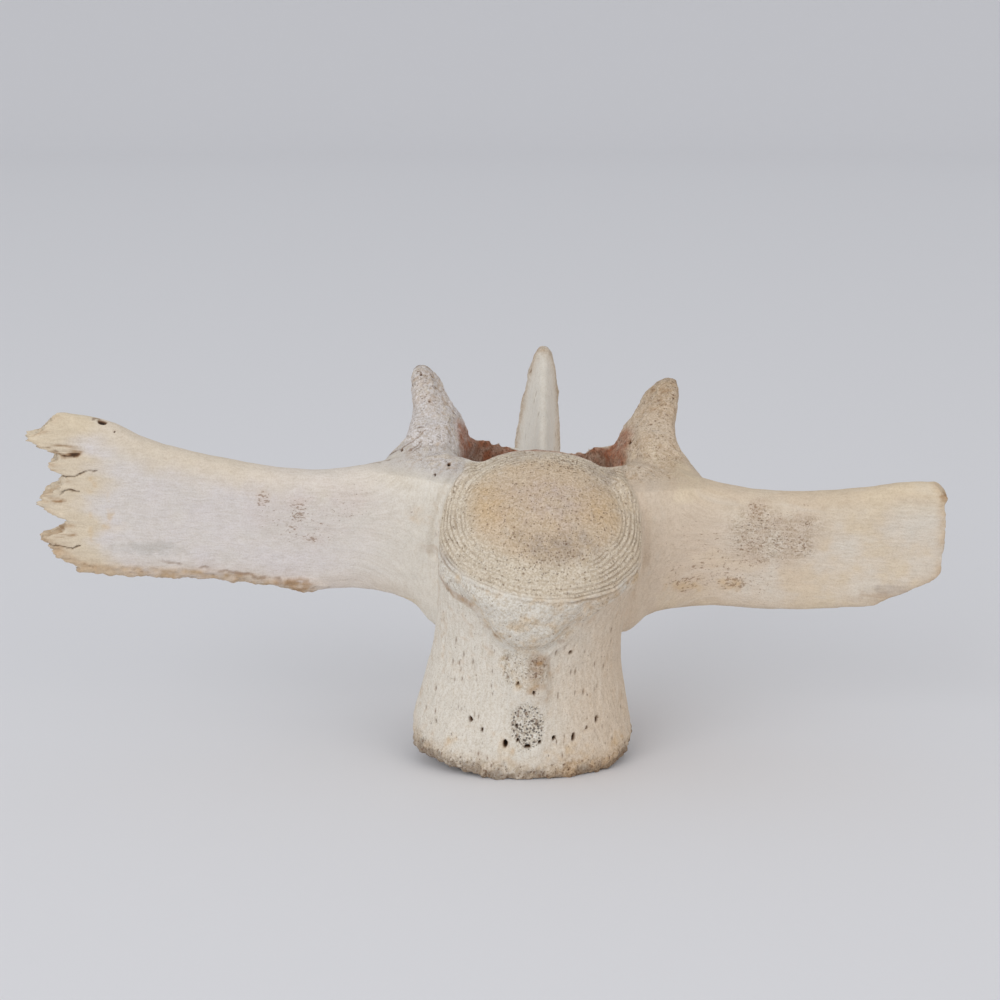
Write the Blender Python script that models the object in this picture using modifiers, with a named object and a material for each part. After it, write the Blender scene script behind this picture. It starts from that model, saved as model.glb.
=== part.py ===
"""A cow's lumbar vertebra, life-size, standing on its caudal end and leaning forward.

The bone is shaped in its own frame, in millimetres: x to the animal's left, y from the
belly side to the back side, z from the tail end to the head end. It is then leaned and
rolled into its pose, set on the floor, and parted into its anatomical regions by thin cuts.
"""

from math import cos, pi, radians, sin

import bmesh
import bpy
from mathutils import Matrix, Vector

MM = 0.001

# Pose of the bone on the floor
LEAN = radians(15.0)
ROLL = radians(3.0)
BONE_ORIGIN = (8.98, -59.91, 0.4)

# Vertebral body: level, offset to the left, half width, front, widest depth, back, keel sharpness
BODY_RINGS = (
    (-1.5, -1.0, 28.2, -0.8, 21.0, 43.0, 1.0),
    (3.0, -1.0, 28.2, 0.0, 21.5, 43.0, 1.05),
    (12.0, -1.0, 26.2, 3.0, 23.0, 42.5, 1.15),
    (24.0, -0.9, 23.8, 5.4, 25.0, 42.0, 1.25),
    (36.0, -0.5, 23.8, 5.2, 25.0, 42.0, 1.2),
    (45.0, 0.2, 24.6, 3.2, 23.0, 42.5, 1.1),
    (50.0, 0.5, 25.4, 1.2, 22.0, 43.0, 1.0),
)
HEAD_BASE = 50.0
HEAD_HEIGHT = 22.8
HEAD_OFFSET = 0.5
HEAD_HALF_WIDTH = 25.6
HEAD_HALF_DEPTH = 21.0
HEAD_MIDDLE = 22.0
HEAD_SLANT = 12.0
HEAD_STEPS = 12

# Ventral lip under the head: level, half width, front, half depth
LIP_OFFSET = -1.6
LIP_RINGS = (
    (34.0, 3.0, 5.6, 2.0),
    (36.0, 6.6, 3.0, 4.5),
    (40.0, 9.6, 1.5, 7.0),
    (45.0, 13.5, 0.8, 10.0),
    (50.0, 18.0, 0.6, 14.0),
    (55.0, 20.0, 3.4, 16.0),
)
KEEL = ((-0.8, 7.4, 19.0), (6.5, 3.6, 18.5))
CAUDAL_HOLLOW = ((-1.0, 21.5, -16.0), (27.0, 20.5, 19.5))

# Transverse processes: reach, caudal edge, cranial edge, thickness, depth of the plate
RIGHT_TRANSVERSE = (
    (12.0, 26.0, 68.0, 20.0, 33.0),
    (24.0, 23.0, 71.0, 18.0, 34.5),
    (30.0, 28.6, 70.0, 15.5, 35.0),
    (37.0, 31.4, 69.0, 13.0, 35.2),
    (46.0, 32.4, 66.6, 11.5, 35.0),
    (56.0, 31.8, 65.2, 10.5, 34.4),
    (70.0, 33.0, 66.4, 9.6, 33.4),
    (85.0, 34.6, 69.6, 8.8, 32.2),
    (98.0, 34.8, 73.4, 8.2, 31.2),
    (106.0, 34.8, 77.6, 7.6, 30.7),
    (114.0, 35.2, 79.6, 7.0, 30.3),
    (121.0, 38.0, 79.8, 6.4, 30.0),
    (127.5, 42.5, 76.0, 4.6, 29.8),
)
LEFT_TRANSVERSE = (
    (12.0, 26.0, 68.0, 20.0, 33.0),
    (24.0, 24.0, 71.0, 18.0, 34.5),
    (30.0, 29.2, 70.0, 15.5, 35.0),
    (37.0, 31.2, 69.0, 13.0, 35.2),
    (46.0, 32.6, 66.8, 11.5, 35.0),
    (56.0, 32.6, 66.0, 10.5, 34.4),
    (68.0, 33.3, 67.0, 9.6, 33.4),
    (80.0, 35.2, 69.2, 8.8, 32.4),
    (90.0, 36.8, 71.7, 8.0, 31.6),
    (98.0, 38.6, 72.6, 7.4, 31.2),
    (108.0, 42.0, 72.0, 6.4, 31.0),
)
TRANSVERSE_CAMBER = 1.6
TRANSVERSE_FULL_EDGE = 0.28

# Shoulder between each transverse process and the mammillary process above it
SHOULDER = ((31.0, 42.0, 58.0), (9.0, 10.0, 12.5))

# The flare of the mammillary process into the transverse process: level, depth, outer reach
FLARE_RINGS = (
    (58.0, 39.0, 44.0),
    (63.0, 40.0, 42.4),
    (66.5, 41.5, 39.8),
    (69.0, 43.5, 36.8),
    (71.5, 47.0, 34.6),
    (74.0, 52.0, 33.4),
)
FLARE_INNER = 24.0
FLARE_HALF_DEPTH = 5.0

# The ends of the transverse processes, reach and level down the edge: jagged right, worn left
RIGHT_END = (
    (117.0, 86.0),
    (120.2, 79.2),
    (121.9, 76.8),
    (123.8, 74.9),
    (127.4, 73.3),
    (124.0, 70.8),
    (119.0, 68.8),
    (121.2, 66.8),
    (121.2, 64.9),
    (118.8, 64.0),
    (119.0, 60.0),
    (123.9, 57.3),
    (124.8, 54.2),
    (117.6, 50.2),
    (118.5, 48.0),
    (124.2, 45.3),
    (121.8, 41.8),
    (117.0, 38.2),
    (114.0, 35.4),
    (108.0, 30.0),
)
LEFT_END = (
    (95.0, 80.0),
    (97.2, 73.0),
    (99.6, 70.8),
    (101.2, 69.4),
    (100.4, 67.6),
    (101.5, 63.3),
    (102.0, 55.4),
    (102.2, 48.0),
    (99.8, 45.0),
    (96.2, 43.0),
    (90.0, 39.4),
    (86.6, 36.6),
    (84.0, 30.0),
)
END_FAR = 140.0

# Neural arch: level, half width, back of the lamina
ARCH_RINGS = (
    (4.0, 17.0, 69.0),
    (14.0, 20.0, 70.5),
    (26.0, 24.0, 71.5),
    (44.0, 26.5, 71.5),
    (64.0, 27.5, 70.5),
)
ARCH_OFFSET = 0.6
ARCH_ROOT = 30.0
ARCH_WIDEST = 48.0
CANAL_FLOOR = 42.6
CANAL_ROOF = 64.0
CANAL_RINGS = ((-40.0, 15.5), (10.0, 15.5), (35.0, 16.0), (60.0, 19.0), (100.0, 20.5))

# The grooves between the head and the roots of the arch: centre of the left one, half sizes
HEAD_GROOVE = ((18.6, 45.0, 69.0), (3.2, 6.0, 9.0))

# The notch between the laminae, a round-cornered trough: depth and the level of its bottom
LAMINA_NOTCH = (
    (51.0, 76.0),
    (56.0, 65.2),
    (60.0, 62.0),
    (64.0, 59.6),
    (72.0, 56.4),
    (80.0, 54.4),
    (96.0, 54.0),
)
LAMINA_NOTCH_OFFSET = 1.6
LAMINA_NOTCH_HALF_WIDTH = 16.6
LAMINA_NOTCH_TOP = 112.0
CAUDAL_LAMINA_NOTCH = ((0.6, 66.0, -4.0), (4.6, 14.0, 12.0))
CAUDAL_NOTCH_CENTRE = (50.5, 0.0)
CAUDAL_NOTCH_SIZE = (8.2, 17.0)

# Cranial articular process with its mammillary process:
# level, offset from the midline, depth, half width, half depth
CRANIAL_PROCESS = (
    (36.0, 21.0, 50.0, 4.0, 8.0),
    (46.0, 24.0, 50.0, 8.5, 17.0),
    (55.0, 26.4, 51.0, 9.4, 21.0),
    (63.0, 27.2, 53.6, 8.8, 20.5),
    (69.0, 27.4, 58.4, 7.0, 17.0),
    (73.0, 28.6, 62.0, 5.4, 13.0),
    (76.0, 30.4, 64.4, 4.4, 9.6),
    (78.5, 31.8, 66.2, 3.3, 6.8),
    (80.6, 32.8, 67.8, 1.8, 3.0),
)
CRANIAL_OFFSET = 0.7
SEAT = ((0.7, 71.0, 96.0), (29.0, 30.0, 34.5))
FACET_RADIUS = 9.5
FACET_OFFSET = 17.0
FACET_DEPTH = 71.0
FACET_LEVELS = (57.0, 100.0)

# Caudal articular process: level, offset, depth, half width, half depth
CAUDAL_PROCESS = (
    (22.0, 9.0, 66.0, 3.0, 4.0),
    (12.0, 11.0, 64.5, 6.0, 6.0),
    (2.0, 12.2, 63.0, 6.6, 7.0),
    (-8.0, 12.6, 62.0, 6.2, 6.8),
    (-15.5, 12.6, 61.6, 5.2, 5.8),
    (-21.0, 12.4, 61.4, 2.4, 3.0),
)

# Spinous process: depth, caudal edge, cranial edge, half thickness
SPINE_RINGS = (
    (60.0, 6.0, 56.0, 7.0),
    (70.0, 8.0, 55.0, 5.6),
    (78.0, 11.0, 53.5, 4.0),
    (92.0, 12.5, 53.5, 3.4),
    (112.0, 12.5, 55.5, 3.5),
    (128.0, 11.5, 58.0, 4.4),
    (135.0, 10.5, 59.5, 6.0),
    (139.5, 12.0, 58.5, 5.8),
    (141.5, 18.0, 52.0, 3.0),
)
SPINE_OFFSET = 1.8
SPINE_THINNING = 0.35

# Softening of the fused bone
VOXEL = 1.0
SMOOTH_TURNS = 7
SMOOTH_FACTOR = 0.5
TRIANGLES = 8800

# Cuts between the regions
HALF_GAP = 0.16
SIDE_CUT = 27.0
SIDE_CUT_START = 15.0
ARCH_CUT = 44.5
SPINE_CUT = 73.0
SPINE_HALF = 14.0
CRANIAL_CUT = 62.5
CAUDAL_CUT = 3.0
FAR = 170.0

IVORY = (0.78, 0.72, 0.60, 1.0)
PALE = (0.82, 0.78, 0.70, 1.0)
HONEY = (0.77, 0.69, 0.54, 1.0)
TAN = (0.66, 0.56, 0.42, 1.0)
ROUGHNESS = 0.75


def mm(x, y, z):
    """A point given in millimetres, in metres."""
    return Vector((x, y, z)) * MM


def eased(value, power):
    """The value raised to a power with its sign kept."""
    return abs(value) ** power * (1.0 if value >= 0.0 else -1.0)


def between(rows, steps):
    """Rows of numbers on a smooth curve through the given rows."""
    smooth = []
    last = len(rows) - 1
    for index in range(last):
        before = rows[max(index - 1, 0)]
        start = rows[index]
        end = rows[index + 1]
        after = rows[min(index + 2, last)]
        for step in range(steps):
            t = step / steps
            smooth.append(tuple(
                0.5 * (2.0 * b + (c - a) * t + (2.0 * a - 5.0 * b + 4.0 * c - d) * t * t
                       + (3.0 * b - a - 3.0 * c + d) * t ** 3)
                for a, b, c, d in zip(before, start, end, after)))
    smooth.append(tuple(rows[last]))
    return smooth


def object_from(name, shape, collection):
    """An object made from a bmesh, with every face pointing out."""
    bmesh.ops.recalc_face_normals(shape, faces=shape.faces)
    mesh = bpy.data.meshes.new(name)
    shape.to_mesh(mesh)
    shape.free()
    made = bpy.data.objects.new(name, mesh)
    collection.objects.link(made)
    return made


def loft(name, rings, collection):
    """A closed solid through rings of equally many points."""
    shape = bmesh.new()
    rows = [[shape.verts.new(point) for point in ring] for ring in rings]
    count = len(rows[0])
    for low, high in zip(rows, rows[1:]):
        for index in range(count):
            after = (index + 1) % count
            shape.faces.new((low[index], low[after], high[after], high[index]))
    shape.faces.new(rows[0])
    shape.faces.new(rows[-1])
    return object_from(name, shape, collection)


def ellipsoid(name, place, collection, segments=40):
    """An ellipsoid from its centre and half sizes."""
    centre, half = place
    shape = bmesh.new()
    bmesh.ops.create_uvsphere(shape, u_segments=segments, v_segments=segments // 2, radius=MM)
    bmesh.ops.scale(shape, vec=half, verts=shape.verts)
    bmesh.ops.translate(shape, vec=mm(*centre), verts=shape.verts)
    return object_from(name, shape, collection)


def prism(name, outline, axis, low, high, collection):
    """An outline drawn in two axes and carried along the third."""
    shape = bmesh.new()

    def placed(pair, along):
        values = list(pair)
        values.insert(axis, along)
        return mm(*values)

    base = shape.faces.new([shape.verts.new(placed(pair, low)) for pair in outline])
    grown = bmesh.ops.extrude_face_region(shape, geom=[base])["geom"]
    corners = [item for item in grown if isinstance(item, bmesh.types.BMVert)]
    direction = [0.0, 0.0, 0.0]
    direction[axis] = high - low
    bmesh.ops.translate(shape, vec=mm(*direction), verts=corners)
    return object_from(name, shape, collection)


def box(name, low, high, collection):
    """A box between two corners."""
    outline = ((low[0], low[1]), (high[0], low[1]), (high[0], high[1]), (low[0], high[1]))
    return prism(name, outline, 2, low[2], high[2], collection)


def body_ring(level, offset, half_width, front, middle, back, keel, count=48):
    """A cross-section of the vertebral body, keeled on its belly side."""
    ring = []
    for index in range(count):
        angle = 2.0 * pi * index / count
        across = cos(angle)
        along = sin(angle)
        if along < 0.0:
            x = half_width * eased(across, keel)
            y = middle + (middle - front) * along
        else:
            x = half_width * eased(across, 0.9)
            y = middle + (back - middle) * along
        ring.append(mm(offset + x, y, level))
    return ring


def head_rings():
    """The convex head, whose face slants towards the belly side."""
    rings = []
    for step in range(1, HEAD_STEPS + 1):
        t = sin(0.5 * pi * step / HEAD_STEPS * 0.985)
        width = HEAD_HALF_WIDTH * (1.0 - t ** 2.6) ** 0.45
        depth = HEAD_HALF_DEPTH * (1.0 - t ** 2.1) ** 0.5
        middle = HEAD_MIDDLE + HEAD_SLANT * t
        level = HEAD_BASE + HEAD_HEIGHT * t
        rings.append(body_ring(level, HEAD_OFFSET, width, middle - depth, middle,
                               middle + depth, 0.95))
    return rings


def vertebral_body(collection):
    """The body with its head, ventral lip and keel."""
    rings = [body_ring(*row) for row in between(BODY_RINGS, 4)]
    loft("body", rings + head_rings(), collection)
    lip = [oval_ring(level, LIP_OFFSET, front + deep, wide, deep)
           for level, wide, front, deep in between(LIP_RINGS, 3)]
    loft("lip", lip, collection)
    ellipsoid("keel", KEEL, collection)


def transverse_ring(side, reach, caudal, cranial, thickness, depth, count=40):
    """A cross-section of a transverse process: a cambered plate, thicker at its cranial edge."""
    ring = []
    middle = 0.5 * (caudal + cranial)
    half = 0.5 * (cranial - caudal)
    for index in range(count):
        angle = 2.0 * pi * index / count
        across = eased(cos(angle), 0.85)
        through = eased(sin(angle), 0.75)
        swell = 0.5 * thickness * (1.0 + TRANSVERSE_FULL_EDGE * across)
        bow = TRANSVERSE_CAMBER * (1.0 - across * across)
        ring.append(mm(side * reach, depth + bow + swell * through, middle + half * across))
    return ring


def transverse_process(name, side, rows, collection):
    """One transverse process, from inside the body to its end."""
    rings = [transverse_ring(side, *row) for row in between(rows, 4)]
    loft(name, rings, collection)
    (reach, depth, level), half = SHOULDER
    ellipsoid(f"{name}_shoulder", ((side * reach, depth, level), half), collection)


def oval_ring(level, x, y, half_width, half_depth, count=32):
    """A level oval ring with slightly full corners."""
    ring = []
    for index in range(count):
        angle = 2.0 * pi * index / count
        across = half_width * eased(cos(angle), 0.85)
        along = half_depth * eased(sin(angle), 0.85)
        ring.append(mm(x + across, y + along, level))
    return ring


def articular_process(name, side, shift, rows, collection):
    """An articular process through oval rings."""
    rings = [oval_ring(level, shift + side * offset, depth, wide, deep)
             for level, offset, depth, wide, deep in between(rows, 4)]
    loft(name, rings, collection)


def flare(name, side, collection):
    """The concave flare from a mammillary process out to the transverse process."""
    rings = []
    for level, depth, outer in between(FLARE_RINGS, 4):
        middle = CRANIAL_OFFSET + side * 0.5 * (FLARE_INNER + outer)
        rings.append(oval_ring(level, middle, depth, 0.5 * (outer - FLARE_INNER), FLARE_HALF_DEPTH))
    loft(name, rings, collection)


def neural_arch(collection):
    """The outer form of the arch over the canal, still solid."""
    rings = []
    for level, half_width, back in between(ARCH_RINGS, 3):
        rings.append(body_ring(level, ARCH_OFFSET, half_width, ARCH_ROOT, ARCH_WIDEST, back, 0.7))
    loft("arch", rings, collection)


def spinous_process(collection):
    """The blade of the spinous process with its thick summit."""
    rings = []
    for depth, caudal, cranial, half in between(SPINE_RINGS, 4):
        middle = 0.5 * (caudal + cranial)
        reach = 0.5 * (cranial - caudal)
        ring = []
        for index in range(40):
            angle = 2.0 * pi * index / 40
            along = eased(cos(angle), 0.8)
            x = half * eased(sin(angle), 0.7) * (1.0 - SPINE_THINNING * along)
            ring.append(mm(SPINE_OFFSET + x, depth, middle + reach * along))
        rings.append(ring)
    loft("spine", rings, collection)


def canal_ring(level, half_width, count=32):
    """A cross-section of the vertebral canal, flat-floored and arched."""
    ring = []
    middle = CANAL_FLOOR + 0.35 * (CANAL_ROOF - CANAL_FLOOR)
    for index in range(count):
        angle = 2.0 * pi * index / count
        rise = sin(angle)
        reach = (CANAL_ROOF - middle) if rise > 0.0 else (middle - CANAL_FLOOR)
        x = half_width * eased(cos(angle), 0.8)
        ring.append(mm(x, middle + reach * eased(rise, 0.8), level))
    return ring


def caudal_notch(collection):
    """The deep notch under the caudal end of both laminae: an oval tunnel from side to side."""
    depth, level = CAUDAL_NOTCH_CENTRE
    deep, high = CAUDAL_NOTCH_SIZE
    outline = []
    for index in range(32):
        angle = 2.0 * pi * index / 32
        outline.append((depth + deep * cos(angle), level + high * sin(angle)))
    prism("caudal_notch", outline, 0, -60.0, 60.0, collection)


def lamina_notch_ring(depth, bottom, count=48):
    """A cross-section of the trough that parts the laminae at their cranial edge."""
    ring = []
    middle = 0.5 * (bottom + LAMINA_NOTCH_TOP)
    half = 0.5 * (LAMINA_NOTCH_TOP - bottom)
    for index in range(count):
        angle = 2.0 * pi * index / count
        x = LAMINA_NOTCH_OFFSET + LAMINA_NOTCH_HALF_WIDTH * eased(cos(angle), 0.6)
        ring.append(mm(x, depth, middle + half * eased(sin(angle), 0.6)))
    return ring


def openings(collection):
    """Everything that is hollowed out of the solid bone."""
    loft("canal", [canal_ring(*row) for row in CANAL_RINGS], collection)
    caudal_notch(collection)
    loft("lamina_notch", [lamina_notch_ring(*row) for row in LAMINA_NOTCH], collection)
    ellipsoid("caudal_lamina_notch", CAUDAL_LAMINA_NOTCH, collection)
    ellipsoid("seat", SEAT, collection, 48)
    ellipsoid("caudal_hollow", CAUDAL_HOLLOW, collection)
    (reach, depth, level), half = HEAD_GROOVE
    for name, side in (("left", 1.0), ("right", -1.0)):
        rings = [oval_ring(height, side * FACET_OFFSET, FACET_DEPTH, FACET_RADIUS, FACET_RADIUS)
                 for height in FACET_LEVELS]
        loft(f"{name}_facet", rings, collection)
        ellipsoid(f"{name}_head_groove", ((side * reach + CRANIAL_OFFSET, depth, level), half), collection)


def missing_end(side, line, collection):
    """What is missing beyond the end of a transverse process."""
    edge = [(side * reach, level) for reach, level in line]
    beyond = [(side * END_FAR, line[-1][1]), (side * END_FAR, line[0][1])]
    return prism("missing_end", edge + beyond, 1, 0.0, 60.0, collection)


def settled(thing):
    """The object with its modifiers applied."""
    graph = bpy.context.evaluated_depsgraph_get()
    mesh = bpy.data.meshes.new_from_object(thing.evaluated_get(graph))
    old = thing.data
    thing.modifiers.clear()
    thing.data = mesh
    bpy.data.meshes.remove(old)
    return thing


def combine(thing, operation, others):
    """A Boolean with every object of a collection, or with one object, applied."""
    modifier = thing.modifiers.new(operation.lower(), "BOOLEAN")
    modifier.operation = operation
    modifier.solver = "EXACT"
    if isinstance(others, bpy.types.Collection):
        modifier.operand_type = "COLLECTION"
        modifier.collection = others
    else:
        modifier.object = others
    return settled(thing)


def largest_surface(thing):
    """Keep only the largest closed surface of a mesh."""
    shape = bmesh.new()
    shape.from_mesh(thing.data)
    unseen = set(shape.faces)
    surfaces = []
    while unseen:
        edge_of_search = [unseen.pop()]
        surface = list(edge_of_search)
        while edge_of_search:
            face = edge_of_search.pop()
            for edge in face.edges:
                for other in edge.link_faces:
                    if other in unseen:
                        unseen.remove(other)
                        edge_of_search.append(other)
                        surface.append(other)
        surfaces.append(surface)
    surfaces.sort(key=len, reverse=True)
    for scrap in surfaces[1:]:
        bmesh.ops.delete(shape, geom=scrap, context="FACES")
    shape.to_mesh(thing.data)
    shape.free()
    return thing


def softened(bone):
    """The fused bone with every joint between its forms rounded, in few triangles."""
    remesh = bone.modifiers.new("fuse", "REMESH")
    remesh.mode = "VOXEL"
    remesh.voxel_size = VOXEL * MM
    soften = bone.modifiers.new("soften", "SMOOTH")
    soften.factor = SMOOTH_FACTOR
    soften.iterations = SMOOTH_TURNS
    settled(bone)
    reduce = bone.modifiers.new("reduce", "DECIMATE")
    reduce.ratio = TRIANGLES / (2.0 * len(bone.data.polygons))
    reduce.use_collapse_triangulate = True
    return settled(bone)


def region_outlines():
    """Each node's region of the bone: outline, the axis it is carried along, and its ends."""
    gap = HALF_GAP
    waist = SIDE_CUT_START - gap
    inner = SIDE_CUT - gap
    outer = SIDE_CUT + gap
    body = ((-FAR, -FAR), (FAR, -FAR), (FAR, waist), (inner, waist),
            (inner, FAR), (-inner, FAR), (-inner, waist), (-FAR, waist))
    edge = SPINE_HALF + gap
    arch = ((-FAR, ARCH_CUT + gap), (FAR, ARCH_CUT + gap), (FAR, FAR), (edge, FAR),
            (edge, SPINE_CUT - gap), (-edge, SPINE_CUT - gap), (-edge, FAR), (-FAR, FAR))
    slim = SPINE_HALF - gap
    spine = ((-slim, SPINE_CUT + gap), (slim, SPINE_CUT + gap), (slim, FAR), (-slim, FAR))
    arch_ends = (CAUDAL_CUT + gap, CRANIAL_CUT - gap)
    regions = {
        "vertebral_body": (body, 1, -FAR, ARCH_CUT - gap),
        "neural_arch": (arch, 2, *arch_ends),
        "spinous_process": (spine, 2, *arch_ends),
    }
    for name, side in (("left", 1.0), ("right", -1.0)):
        wing = ((side * outer, SIDE_CUT_START + gap), (side * FAR, SIDE_CUT_START + gap),
                (side * FAR, FAR), (side * outer, FAR))
        half = ((side * gap, ARCH_CUT + gap), (side * FAR, ARCH_CUT + gap),
                (side * FAR, FAR), (side * gap, FAR))
        regions[f"{name}_transverse_process"] = (wing, 1, -FAR, ARCH_CUT - gap)
        regions[f"{name}_cranial_articular_process"] = (half, 2, CRANIAL_CUT + gap, FAR)
        regions[f"{name}_caudal_articular_process"] = (half, 2, -FAR, CAUDAL_CUT - gap)
    return regions


def bone_material(name, colour):
    """A matt bone finish."""
    material = bpy.data.materials.new(name)
    material.use_nodes = True
    shader = material.node_tree.nodes["Principled BSDF"]
    shader.inputs["Base Color"].default_value = colour
    shader.inputs["Roughness"].default_value = ROUGHNESS
    shader.inputs["Metallic"].default_value = 0.0
    material.diffuse_color = colour
    return material


def node_colour(name):
    """The right transverse process is the palest region and the articular processes the brownest."""
    if name == "right_transverse_process":
        return PALE
    if name == "left_transverse_process":
        return HONEY
    if "articular" in name:
        return TAN
    return IVORY


def new_collection(name):
    """A collection linked to the scene."""
    collection = bpy.data.collections.new(name)
    bpy.context.scene.collection.children.link(collection)
    return collection


def emptied(collection):
    """Remove a collection's objects and the collection itself."""
    for thing in list(collection.objects):
        bpy.data.objects.remove(thing, do_unlink=True)
    bpy.data.collections.remove(collection)


def whole_bone(collection, cutters):
    """The bone in one piece, in its own frame."""
    forms = new_collection("forms")
    vertebral_body(forms)
    transverse_process("right_transverse", -1.0, RIGHT_TRANSVERSE, forms)
    transverse_process("left_transverse", 1.0, LEFT_TRANSVERSE, forms)
    neural_arch(forms)
    spinous_process(forms)
    for name, side in (("left", 1.0), ("right", -1.0)):
        articular_process(f"{name}_cranial", side, CRANIAL_OFFSET, CRANIAL_PROCESS, forms)
        flare(f"{name}_flare", side, forms)
        articular_process(f"{name}_caudal", side, ARCH_OFFSET, CAUDAL_PROCESS, forms)
    bone = forms.objects["body"]
    forms.objects.unlink(bone)
    collection.objects.link(bone)
    combine(bone, "UNION", forms)
    emptied(forms)
    hollows = new_collection("hollows")
    openings(hollows)
    combine(bone, "DIFFERENCE", hollows)
    emptied(hollows)
    softened(bone)
    for side, line in ((-1.0, RIGHT_END), (1.0, LEFT_END)):
        combine(bone, "DIFFERENCE", missing_end(side, line, cutters))
    return largest_surface(bone)


def main():
    for thing in list(bpy.data.objects):
        bpy.data.objects.remove(thing, do_unlink=True)
    parts = new_collection("cow_vertebra")
    cutters = new_collection("cutters")
    bone = whole_bone(parts, cutters)
    pose = (Matrix.Translation(mm(*BONE_ORIGIN)) @ Matrix.Rotation(ROLL, 4, "Y")
            @ Matrix.Rotation(LEAN, 4, "X"))
    bone.data.transform(pose)
    floor = box("floor", (-FAR, -FAR, -60.0), (FAR, FAR, 0.0), cutters)
    combine(bone, "DIFFERENCE", floor)
    for name, (outline, axis, low, high) in region_outlines().items():
        region = prism(f"{name}_region", outline, axis, low, high, cutters)
        region.data.transform(pose)
        node = bpy.data.objects.new(name, bone.data.copy())
        parts.objects.link(node)
        combine(node, "INTERSECT", region)
        largest_surface(node)
        node.data.name = name
        node.data.materials.clear()
        node.data.materials.append(bone_material(name, node_colour(name)))
    bpy.data.objects.remove(bone, do_unlink=True)
    emptied(cutters)


main()
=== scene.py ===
"""A dry, weathered cow vertebra that stands on its tail end on a pale table.

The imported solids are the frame. One skin grown from them closes the cuts between the anatomical
regions and carries the bone's relief and its procedural material. It is then shared out among the
regions along the same cuts, with common border points and normals, so that no seam shows.

The relief is worked in the bone's own axes, in millimetres:
u towards the animal's left, which is the viewer's right,
d from the belly side to the back,
c from the tail end up to the head end.
"""
import math

import bpy
import numpy as np
from mathutils import Matrix, Vector


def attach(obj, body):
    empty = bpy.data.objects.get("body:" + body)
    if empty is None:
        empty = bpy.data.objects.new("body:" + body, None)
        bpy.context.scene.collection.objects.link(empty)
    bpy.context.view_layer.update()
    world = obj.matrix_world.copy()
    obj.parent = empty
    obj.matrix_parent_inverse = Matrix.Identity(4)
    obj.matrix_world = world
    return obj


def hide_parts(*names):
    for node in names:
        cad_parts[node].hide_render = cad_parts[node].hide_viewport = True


MM = 0.001

# Where the bone's own axes sit in the frame
BONE_ORIGIN_MM = (8.98, -59.91, 0.4)
LEAN_DEG = 15.0
ROLL_DEG = 3.0

# The skin's mesh
WELD_MM = 0.25
SKIN_VOXEL_MM = 0.38
SKIN_SMOOTHING = 40

# The cuts between the regions, in bone axes, and the depth that halves the body's share of the skin
SIDE_CUT = 27.0
SIDE_CUT_START = 15.0
ARCH_CUT = 44.5
SPINE_CUT = 73.0
SPINE_HALF = 14.0
CRANIAL_CUT = 62.5
CAUDAL_CUT = 3.0
BODY_HALVES = 20.0

# The growth rings on the head: their pole, how far they are stretched sideways, and where they run
RING_POLE = (1.0, 17.8, 67.6)
RING_STRETCH = 1.25
RING_START = 15.0
RING_END = 24.3
RING_SPACING = 1.05
RING_HEIGHT = 0.17

# The head's side edge: its half width at levels up the bone
HEAD_EDGE_MIDDLE = 0.7
HEAD_EDGE_C = (45.0, 57.0, 62.0, 66.0, 68.5, 70.0, 72.0)
HEAD_EDGE_HALF = (25.6, 25.4, 24.6, 23.2, 21.7, 20.0, 17.0)

# The head's lower edge on the body's front: its level at places across the bone
LEDGE_U = (-26.0, -20.0, -14.5, -10.5, -7.0, -2.0, 3.0, 8.0, 12.6, 18.0, 26.0)
LEDGE_C = (49.0, 45.0, 44.5, 38.0, 34.0, 33.2, 33.5, 37.0, 42.0, 46.0, 50.0)

# Small holes for vessels on the body's front: u, c, radius, how much taller than wide
FORAMINA = (
    (-14.5, 12.3, 0.52, 1.2),
    (-5.5, 8.3, 0.55, 1.8),
    (6.7, 9.9, 0.38, 1.5),
    (11.7, 9.5, 0.42, 2.3),
    (17.4, 12.3, 0.44, 1.7),
    (14.9, 10.9, 0.3, 1.2),
    (9.5, 32.0, 0.45, 1.4),
    (-11.4, 10.5, 0.26, 1.9),
    (-23.2, 8.4, 0.26, 1.3),
    (-3.2, 24.6, 0.36, 1.2),
    (1.0, 22.4, 0.34, 1.4),
    (0.2, 8.1, 0.75, 0.6),
    (-2.4, 9.4, 0.42, 0.8),
    (3.1, 9.3, 0.36, 1.3),
    (-3.0, 12.9, 0.36, 1.0),
)
FORAMEN_DEPTH = 2.4

# Cracks in from the broken end: half width, and the points they run through as u, c
CRACKS = (
    (0.3, ((-119.6, 63.6), (-115.6, 63.4), (-112.6, 64.9), (-109.8, 65.7))),
    (0.26, ((-119.4, 58.6), (-117.2, 59.5), (-114.4, 59.4))),
    (0.24, ((-123.0, 43.6), (-116.7, 42.7), (-114.8, 43.9))),
    (0.26, ((-119.6, 69.4), (-115.2, 68.3))),
)

# Small dark holes on the wings and the processes: place and radius
VESSEL_HOLES = (
    ((-88.1, 30.0, 68.5), 0.22),
    ((-105.3, 29.0, 76.0), 0.22),
    ((-35.1, 41.6, 69.0), 0.42),
    ((-26.6, 42.9, 69.7), 0.3),
    ((-24.6, 44.0, 69.9), 0.28),
    ((-22.9, 32.0, 70.5), 0.42),
    ((-28.9, 55.8, 76.5), 0.24),
    ((-31.7, 64.3, 80.3), 0.3),
    ((-26.2, 29.1, 68.7), 0.24),
    ((22.8, 50.5, 70.3), 0.45),
    ((28.0, 52.8, 74.7), 0.26),
    ((31.5, 47.8, 72.1), 0.26),
    ((33.7, 61.0, 78.6), 0.34),
    ((26.0, 24.0, 63.9), 0.24),
    ((32.9, 28.0, 55.8), 0.24),
)

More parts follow.
